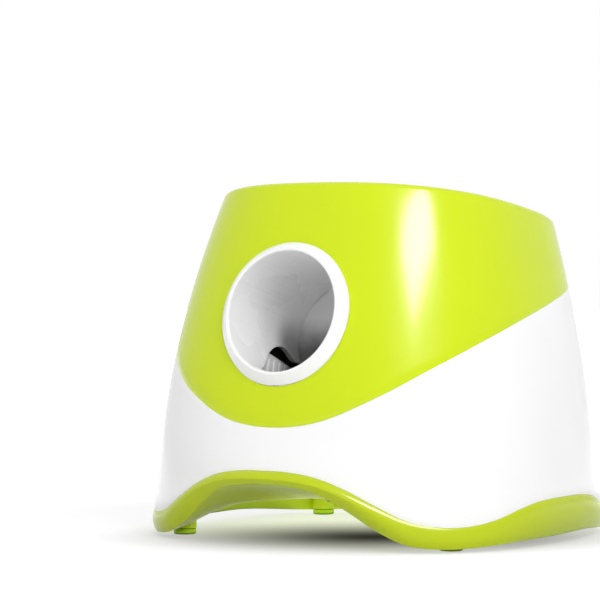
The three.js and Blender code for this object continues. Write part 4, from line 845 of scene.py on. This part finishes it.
wall = [(BORE_R, 1.4), (TUBE_R, 1.4), (TUBE_R, 148), (BORE_R, 148)]
tube = turned("tube_skin", wall, matrix=LAUNCH, sides=128, soft=0.25)
collar_low = to_body(99 / math.cos(TILT), 0)[1]
collar = rod("collar", 33.7, collar_low, 144.4, "Z", (0, THROAT_Y, 0), sides=128, soft=0.2)
carve(tube, collar, operation="UNION")
bore = rod("cutter", BORE_R, -3, 152, matrix=LAUNCH, sides=128, soft=0)
drop, seat = [rod("cutter", radius, low, 180, "Z", (0, THROAT_Y, 0), sides=96, soft=0)
              for radius, low in ((THROAT_R, collar_low), (31.5, 141.7))]
windows = [prism("cutter", slot_outline(), *span(side, 15, 37), "YZ", LAUNCH, bevel=0) for side in (-1, 1)]
carve(tube, bore, drop, seat, *windows)
extras = pair("anchor", (30.2, 43.5), (16.7, 20.7), (-22.3, -16), LAUNCH, 0.6)
for at in EAR_ALONG:
    extras += pair("ear", (33.4, 55.5), (at - 5.5, at + 5.5), (-4, 0), LAUNCH, 0.6)
extras.append(block("stop_block", (-13, 21.4, -38.9), (13, 24.4, -32.6), LAUNCH, 0.5))
tube = merged("tube_skin", tube, *extras)
finish_piece(tube, PALE, "pale_gloss", "launch_tube")

# %% [markdown]
# ## Launch carriage
# A cup-shaped piston with two ribbed arms that reach forward through the tube's windows. A bridge joins the
# arms under the tube and carries the rack. The nearer arm and the window over it show in the bore.

# %% Launch carriage
ARM_PEAK, ARM_TOP, ARM_LINE, ARM_FOOT = 40.4, -13.6, -17.3, -38.6
ARM_START, ARM_END = 31, 72.5
ARM_SKY = [(29, -12.6), (29, -20.4), (31, -20.4), (ARM_PEAK, ARM_TOP), (61.5, ARM_LINE), (74, ARM_LINE),
           (74, -12.6)]
CUP = [(0, 70), (31.85, 70), (31.85, 71.2), (31.2, 72), (31.2, 124), (29, 124), (29, 72.5), (0, 72.5)]
parts = [turned("cup", CUP, matrix=LAUNCH, sides=128, soft=0.25)]
for side in (-1, 1):
    outline = [(33, ARM_TOP), (31, ARM_TOP), (29, ARM_LINE), (29, ARM_FOOT), (33, ARM_FOOT)]
    arm = prism("arm", [(side * x, z) for x, z in outline], ARM_START, ARM_END, "XZ", LAUNCH, 0)
    x0, x1 = span(side, 27.9, 30.1)
    ribs = []
    for i in range(5):
        at = ARM_START + 5.2 * (i + 0.5)
        ribs.append(block("rib", (x0, at, -36.7), (x1, at + 2.4, ARM_LINE), LAUNCH, 0))
    carve(arm, *ribs, operation="UNION")
    carve(arm, prism("cutter", ARM_SKY, *span(side, 0, 37), "YZ", LAUNCH, bevel=0))
    parts.append(softly(arm, 0.3, 25))
parts += pair("spring_ear", (22, 43.5), (68.5, ARM_END), (-22.3, -16), LAUNCH, 0.5)
parts.append(block("bridge", (-33, ARM_START, ARM_FOOT), (33, ARM_END, -35.6), LAUNCH, 0.4))

# %% Rack
MODULE, TEETH, BACKLASH = 1.25, 18, 0.28
PITCH = math.pi * MODULE
LINE = ARM_FOOT - 1.6 - 1.05 * MODULE
DEEP, HIGH = 1.05 * MODULE, 0.75 * MODULE
slope = math.tan(math.radians(25))
half = (PITCH / 2 - BACKLASH) / 2
root, tip = half + DEEP * slope, half - HIGH * slope
teeth = []
for i in range(TEETH):
    at = 96 + (i + 0.5 - 16) * PITCH
    teeth += [(at - root, LINE + DEEP), (at - tip, LINE - HIGH)]
    teeth += [(at + tip, LINE - HIGH), (at + root, LINE + DEEP)]
ends = (teeth[0][0] - MODULE, teeth[-1][0] + MODULE)
teeth += [(ends[1], LINE + DEEP), (ends[1], -38), (ends[0], -38), (ends[0], LINE + DEEP)]
parts.append(prism("rack", teeth, -4.5, 4.5, "YZ", LAUNCH, 0.1))
parts.append(block("tail", (-9, 70, ARM_FOOT), (9, ends[1], -35.6), LAUNCH, 0.4))
carriage = merged("carriage_skin", *parts)
finish_piece(carriage, ARM, "white_gloss", "launch_carriage", body="launch_carriage")

# %% [markdown]
# ## Rear panel
# The panel fills the window in the rear of the white shell. Its face follows the skin a little inside it, so
# it is a curved slab trimmed to a rounded outline. A wider flange lies behind the wall. Buttons and lamps
# come through it square to a frame that leans with the skin.


# %% Rear panel
def rear_slab(name, half, low, high, outside, inside):
    """Plate that follows the rear skin between two insets."""
    heights = [lerp(low, high, j / 16) for j in range(17)]
    rows = []
    for i in range(65):
        x = lerp(-half, half, i / 64)
        row = [(x, rear_y(x, z, outside), z) for z in heights]
        rows.append(row + [(x, rear_y(x, z, inside), z) for z in reversed(heights)])
    return tidy(joined(name, rows, capped=True))


REAR = rear_y(0, PANEL["mid"], 0)
LEAN = math.atan((rear_y(0, PANEL["low"], 0) - rear_y(0, PANEL["high"], 0)) / (PANEL["high"] - PANEL["low"]))
FACE_IN, PLATE_BACK, FLANGE_BACK = 0.9, 3.3, 4.5
STAND_FOOT = -11.2
PANEL_FRAME = Matrix.Translation((0, REAR * MM, PANEL["mid"] * MM)) @ Matrix.Rotation(LEAN, 4, "X")
BUTTONS = {"power_button": -24, "distance_button": 24}
LAMPS = (-7.5, 0, 7.5)


def panel_drop(x):
    """How far the panel's face at this place lies behind the frame's origin."""
    return REAR - rear_y(x, PANEL["mid"], FACE_IN)


def panel_rod(name, radius, low, high, x, z=0, **more):
    """Solid cylinder square to the panel's frame."""
    return rod(name, radius, low, high, centre=(x, 0, z), matrix=PANEL_FRAME, **more)


def trimmed(name, grow, radius, outside, inside):
    """Curved slab trimmed to the window's outline, this much wider all round."""
    half, low, high = PANEL["half"], PANEL["low"], PANEL["high"]
    spare = max(grow, 0) + 1
    slab = rear_slab(name, half + spare, low - spare, high + spare, outside, inside)
    outline = rounded_box(-half - grow, half + grow, low - grow, high + grow, radius)
    carve(slab, prism("cutter", outline, *REAR_CUT, "XZ", bevel=0), operation="INTERSECT")
    return carve(slab, *[panel_rod("cutter", 6.8, -12, 3, x, soft=0) for x in BUTTONS.values()],
                 *[panel_rod("cutter", 2.0, -12, 3, x, soft=0) for x in LAMPS])


plate = softly(trimmed("panel_skin", -FIT, 4.7, FACE_IN, PLATE_BACK), 0.35)
flange = trimmed("panel_flange", 3, 5, PLATE_BACK, FLANGE_BACK)
stands = [panel_rod("standoff", 1.5, STAND_FOOT, -panel_drop(x) - 2.4, x, z, sides=24, soft=0.2)
          for x in (-33, 33) for z in (-10, 10)]
panel = merged("panel_skin", plate, flange, *stands)
finish_piece(panel, GREY, "grey_plastic", "control_panel")

lenses = []
for x in LAMPS:
    face = -panel_drop(x)
    outline = [(0, STAND_FOOT), (1.7, STAND_FOOT), (1.7, face - 0.2), (1.1, face + 0.2), (0, face + 0.3)]
    lenses.append(turned("lens", outline, centre=(x, 0, 0), matrix=PANEL_FRAME, sides=32, soft=0.2))
lenses.append(block("bar", (-7.5, STAND_FOOT, -0.85), (7.5, -9.1, 0.85), PANEL_FRAME, 0.2))
lamps = merged("lamp_lenses", *lenses)
finish_piece(lamps, LENS, "clear_lens", "indicator_lenses")


# %% Buttons
def arc(radius, width, start, end):
    """Flat band bent round a circle, in degrees from the top."""
    turns = [math.radians(lerp(start, end, k / 28)) for k in range(29)]
    rings = ((radius + width / 2, turns), (radius - width / 2, reversed(turns)))
    return [(r * math.sin(t), r * math.cos(t)) for r, row in rings for t in row]


def mark(name, outlines, x, body):
    """Raised white mark on a button's face."""
    face = -panel_drop(x)
    parts = [prism("mark", [(x + u, v) for u, v in outline], face + 1.1, face + 1.42, "XZ", PANEL_FRAME, 0)
             for outline in outlines]
    finish_piece(merged(name, *parts), WHITE, "white_gloss", body=body)


for name, x in BUTTONS.items():
    face, back = -panel_drop(x), -4.2 - panel_drop(abs(x) + 7.7)
    outline = [(0, face + 1.2), (3.4, face + 1.22), (4.9, face + 1.5), (5.6, face + 1.6), (6.2, face + 1.45),
               (6.5, face + 1.0), (6.5, back), (7.7, back), (7.7, back - 1), (1.6, back - 1), (1.6, -8.2),
               (0, -8.2)]
    button = turned(name + "_skin", outline, centre=(x, 0, 0), matrix=PANEL_FRAME, sides=72, soft=0.25)
    finish_piece(button, GREY, "grey_plastic", name, body=name)
stem = [(-0.28, 0.6), (0.28, 0.6), (0.28, 3.0), (-0.28, 3.0)]
mark("power_mark", [arc(2.3, 0.55, 35, 325), stem], BUTTONS["power_button"], "power_button")
bars = [[(u - 0.45, -2), (u + 0.45, -2), (u + 0.45, v), (u - 0.45, v)]
        for u, v in ((-1.7, -0.6), (0, 0.8), (1.7, 2.2))]
mark("distance_mark", bars, BUTTONS["distance_button"], "distance_button")
print("buttons:", len(BUTTONS))

# %% [markdown]
# ## Socket cover
# A rubber disc with a plug on its back. A strap joins it to a barrel on a pin between the two lugs of the
# shell, so it swings up. A small ridge at its foot gives a fingernail something to lift.

# %% Socket cover
DISC = [(0, 2.4), (6.6, 2.4), (7.2, 2.2), (7.6, 1.7), (7.6, 0.6), (2.2, 0.6), (2.2, -1.4), (0, -1.4)]
HINGE = (0, 2.4, 10)
cover = merged(
    "socket_cover",
    turned("disc", DISC, matrix=JACK, soft=0.25),
    turned("ring", [(5.2, 2.2), (5.9, 2.2), (5.9, 2.75), (5.2, 2.75)], matrix=JACK, soft=0.2),
    block("strap", (-3, 0.6, 3), (3, 2.3, 9.4), JACK, 0.4),
    block("ridge", (-2.6, 2.2, -7.0), (2.6, 3.0, -6.0), JACK, 0.35),
    rod("barrel", 1.6, -3, 3, "X", HINGE, JACK, 32, 0.3),
    rod("pin", 0.9, -5.7, 5.7, "X", HINGE, JACK, 24, 0.15),
)
finish_piece(cover, RUBBER, "rubber_black", "jack_cover", body="jack_cover")

# %% [markdown]
# ## Feet, battery door and screws
# The pads have a grooved sole. The door lies flush under the floor, with a grip at its front edge and a
# hinge behind. Every screw is one turned outline with a cross cut into its head.

# %% Feet and battery door
SOLE = [(0, 0.5), (1.6, 0.5), (2.0, 0), (3.0, 0), (3.3, 0.5), (3.7, 0.5), (4.0, 0), (5.5, 0), (6.1, 0.6),
        (6.1, 3.0), (0, 3.0)]
FOOT_NAMES = ("foot_front_left", "foot_front_right", "foot_rear_left", "foot_rear_right")
for name, (x, y) in zip(FOOT_NAMES, FEET):
    pad = turned(name + "_pad", SOLE, "Z", (x, y, 0), sides=64, soft=0.12)
    finish_piece(pad, PAD, "foot_pad", name)

DOOR_LOW, DOOR_TOP = 17.6, 19.7
door_parts = [
    prism("plate", rounded_box(-59.1, 59.1, 38.3, 92.3, 3), DOOR_LOW, DOOR_TOP, "XY", bevel=0.5),
    block("leaf", (-10, 90.6, DOOR_LOW), (10, 94.6, DOOR_TOP), bevel=0.3),
    rod("barrel", 2, -10, 10, "X", (0, 94.6, 17.7), sides=32, soft=0.2),
    block("grip", (-8, 38.3, 16.2), (8, 41.7, 18.65), bevel=0.5),
]
door_parts += [block("ridge", (12 * k - 30, 52, 17.2), (12 * k - 26, 82, 17.9), bevel=0.25) for k in range(6)]
door = merged("battery_door_skin", *door_parts)
finish_piece(door, SHADED_GREEN, "green_gloss", "battery_door", body="battery_door")


# %% Screws
def screw(name, length, matrix):
    """Pan head screw whose seat is at the origin, its point towards +z."""
    outline = [(0, -2.2), (2.2, -2.2), (2.8, -1.7), (3.0, -0.9), (3.0, 0), (1.6, 0), (1.6, length - 1),
               (0.7, length), (0, length)]
    obj = turned("screw", outline, "Z", sides=40, soft=0.15)
    carve(obj, block("cutter", (-1.7, -0.32, -3), (1.7, 0.32, -1.1), bevel=0),
          block("cutter", (-0.32, -1.7, -3), (0.32, 1.7, -1.1), bevel=0))
    obj.data.transform(matrix)
    obj.name = name + "_fine"
    finish_piece(obj, STEEL, "bright_steel", name)


def lifted(x, y, z):
    return Matrix.Translation((x * MM, y * MM, z * MM))


for i, k in enumerate((1, 2, 0, 3)):
    screw(f"base_screw_{i + 1}", 14, lifted(*base_screws[k], DOOR_TOP))
for i, place in enumerate(gear_screws):
    screw(f"gearbox_screw_{i + 1}", 5.1, lifted(*place, DOOR_TOP))
for i, (turn, z) in enumerate(seams):
    screw(f"seam_screw_{i + 1}", 14, lifted(*skin(turn, z, BOSS_IN[0])[:2], z - 8.3))
for i, (at, x) in enumerate([(at, x) for at in EAR_ALONG for x in (-POST_X, POST_X)]):
    screw(f"tube_screw_{i + 1}", 14, LAUNCH @ lifted(x, at, 0.3) @ Matrix.Rotation(math.pi, 4, "X"))
print("screws: 14")

# %% [markdown]
# ## Springs
# Drawn wire wound as a helix whose ends run in to its own line. The front end holds on the tube and the
# rear one on the carriage.

# %% Springs
COIL = dict(radius=3.45, wire=0.55, front=22.1, rear=67.1, across=39.5, up=-20.0, turns=8)


def coil_point(side, along, radius=0.0, angle=0.0):
    """Point of the wire, or of the coil's own line."""
    return LAUNCH @ (Vector((side * COIL["across"] + radius * math.cos(angle), along,
                             COIL["up"] + radius * math.sin(angle))) * MM)


def spring(name, side):
    """Wire wound along the coil's line, drawn in to the line at both ends."""
    start, end = COIL["front"] - 1.6, COIL["rear"] + 1.6
    steps = COIL["turns"] * 28
    curve = bpy.data.curves.new(name, "CURVE")
    curve.dimensions = "3D"
    curve.bevel_depth = COIL["wire"] * MM
    curve.bevel_resolution = 2
    curve.use_fill_caps = True
    line = curve.splines.new("POLY")
    line.points.add(steps)
    for k, spot in enumerate(line.points):
        share = k / steps
        radius = COIL["radius"] * min(1.0, share / 0.04, (1 - share) / 0.04)
        spot.co = (*coil_point(side, lerp(start, end, share), radius, 2 * math.pi * COIL["turns"] * share), 1)
    wound = new_object("wound", curve)
    obj = tidy(new_object(name, evaluated(wound)), 60)
    bpy.data.objects.remove(wound)
    paint(obj, WIRE)
    return obj


for side, name in ((-1, "launch_spring_left"), (1, "launch_spring_right")):
    obj = spring(name + "_wire", side)
    ends = [tuple(coil_point(side, COIL[end])) for end in ("front", "rear")]
    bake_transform(obj)
    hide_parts(name)
print("springs: 2")

# %% [markdown]
# ## Small inner parts
# Gears, shafts, plates, cells, boards and the motor keep their solids. A small bevel catches the light on
# their edges, and each gets its own material.

# %% Small inner parts
INNER = [
    (STEEL, ["motor_shaft", "drive_motor", "winding_axle", "reduction_axle", "battery_contacts_left",
             "battery_contacts_right", "door_hinge_pin"]),
    (BRASS, ["motor_pinion"]),
    (ACETAL, ["winding_gear", "reduction_gear"]),
    (GREY, ["left_gear_plate", "right_gear_plate"]),
    (DARK, ["limit_switch", "battery_box", "buzzer", "dc_jack", "ball_sensor_emitter",
            "ball_sensor_receiver"]),
    (RUBBER, ["front_bumper"]),
    (BOARD, ["button_board", "main_board"]),
    (WRAP, [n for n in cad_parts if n.startswith("aa_cell")]),
]
for mat, names in INNER:
    for name in names:
        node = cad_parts[name]
        paint(node, mat)
        bevelled(node, 0.2, 50)
print("inner parts:", sum(len(names) for _, names in INNER))

# %% [markdown]
# ## Stage, light and camera
# A white floor with a painted soft shadow under the launcher, a key light from the front right, a wide light
# above, and a soft box that only shows as the streak on the green shell. A weak glow under the body stands
# for the light that the white table throws up. The camera is level.


# %% Floor
VIEW = math.radians(32.5)
# Painted shadow under the launcher: an oval, stretched across the view, with a dark tone and little lift
PAINTED_SHADOW = dict(centre=(0.014, -0.024, 0), width=1.5, reach=0.112)
SHADOW_TONE, OPEN_TONE = (0.06, 0.05, 0.08, 1), (0.88, 0.87, 0.9, 1)
SHADOW_LIFT, OPEN_LIFT, SEEN_TONE = 0.02, 0.68, 0.45
PAPER = (0.2, 0.45)


def seen_white(tree):
    """1 for the rays that should see white paper: from the camera, from gloss and through glass."""
    rays = add(tree, "LightPath", out="Is Camera Ray").node.outputs
    first = add(tree, "Math", {0: rays["Is Camera Ray"], 1: rays["Is Glossy Ray"]}, operation="MAXIMUM")
    return add(tree, "Math", {0: first, 1: rays["Is Transmission Ray"]}, operation="MAXIMUM")


def floor_material():
    """White floor with a painted shadow under the launcher, and pure white far away."""
    mat, tree, shader = new_material("white floor")
    place = add(tree, "TexCoord", out="Object")
    reach = add(tree, "VectorMath", {0: place}, "Value", operation="LENGTH")
    far = map_range(tree, reach, *PAPER, easing="SMOOTHSTEP")
    shadow_place = add(tree, "Mapping", {"Location": PAINTED_SHADOW["centre"], "Rotation": (0, 0, VIEW),
                                  "Scale": (PAINTED_SHADOW["width"], 1, 1), "Vector": place}, vector_type="TEXTURE")
    away = add(tree, "VectorMath", {0: shadow_place}, "Value", operation="LENGTH")
    # Painted shadow: near is 0 at its middle and 1 outside it, and it sets the floor's tone and lift
    near = map_range(tree, away, 0, PAINTED_SHADOW["reach"], easing="SMOOTHSTEP")
    tone = add(tree, "Mix", {"Factor": near, "A": SHADOW_TONE, "B": OPEN_TONE}, "Result", data_type="RGBA")
    seen = seen_white(tree)
    share = map_range(tree, seen, 0, 1, 1, SEEN_TONE)
    dim = add(tree, "VectorMath", {0: tone, "Scale": share}, "Vector", operation="SCALE")
    feed(tree, shader, {"Base Color": dim, "Roughness": 0.6, "Specular IOR Level": 0})
    mixed = add(tree, "MixShader", {0: far, 1: shader.outputs["BSDF"], 2: add(tree, "Emission")})
    lift = map_range(tree, near, 0, 1, SHADOW_LIFT, OPEN_LIFT)
    lift = add(tree, "Math", {0: lift, 1: seen}, operation="MULTIPLY")
    total = add(tree, "AddShader", {0: mixed, 1: add(tree, "Emission", {"Strength": lift})})
    feed(tree, tree.nodes["Material Output"], {"Surface": total})
    return mat


WIDE = 9000
corners = [(-WIDE, -WIDE, 0), (WIDE, -WIDE, 0), (WIDE, WIDE, 0), (-WIDE, WIDE, 0)]
floor = mesh_object("floor", corners, [(0, 1, 2, 3)])
floor.data.materials.append(floor_material())

# %% Light
world = bpy.data.worlds.new("studio")
bpy.context.scene.world = world
world.use_nodes = True
tree = world.node_tree
room = feed(tree, tree.nodes["Background"], {"Color": (1, 1, 1, 1), "Strength": 0.5})
paper = add(tree, "Background", {"Color": (1, 1, 1, 1), "Strength": 1.0})
sky = add(tree, "MixShader", {0: seen_white(tree), 1: room.outputs[0], 2: paper})
feed(tree, tree.nodes["World Output"], {"Surface": sky})


def soft_box(name, target, azimuth, elevation, distance, width, height, power, roll=0.0, diffuse=True):
    """Rectangular light round the target; azimuth 0 is in front of the muzzle, 90 on the right."""
    turn, rise = math.radians(azimuth), math.radians(elevation)
    away = Vector((math.sin(turn) * math.cos(rise), -math.cos(turn) * math.cos(rise), math.sin(rise)))
    light = bpy.data.lights.new(name, "AREA")
    light.shape = "RECTANGLE"
    light.size, light.size_y = width, height
    light.energy = power
    obj = new_object(name, light)
    obj.location = Vector(target) + away * distance
    facing = (-away).to_track_quat("-Z", "Y").to_matrix().to_4x4()
    obj.rotation_euler = (facing @ Matrix.Rotation(math.radians(roll), 4, "Z")).to_euler()
    obj.visible_diffuse = diffuse
    obj.visible_glossy = not diffuse
    obj.visible_camera = False
    return obj


soft_box("key_box", (0, 0, 0.1), 44, 33, 1.6, 1.0, 1.0, 13.9)
soft_box("top_box", (0, 0, 0.1), 0, 85, 1.4, 1.6, 1.6, 3.5)
soft_box("streak_box", (0.06, -0.065, 0.14), 49.8, 41.7, 1.5, 0.7, 0.44, 33, roll=26.1, diffuse=False)
soft_box("table_glow", (-0.01, 0.015, 0.02), 0, -90, 0.019, 0.17, 0.17, 0.08)

# %% Camera
camera = new_object("camera", bpy.data.cameras.new("camera"))
camera.location = (0.7284, -1.22025, 0.1366)
camera.rotation_euler = (math.pi / 2, 0, VIEW)
camera.data.sensor_width = 36
camera.data.lens = 157.14
camera.data.shift_y = -20 / 600
camera.data.clip_start = 0.05
bpy.context.scene.camera = camera
bpy.context.scene.view_settings.view_transform = "Standard"
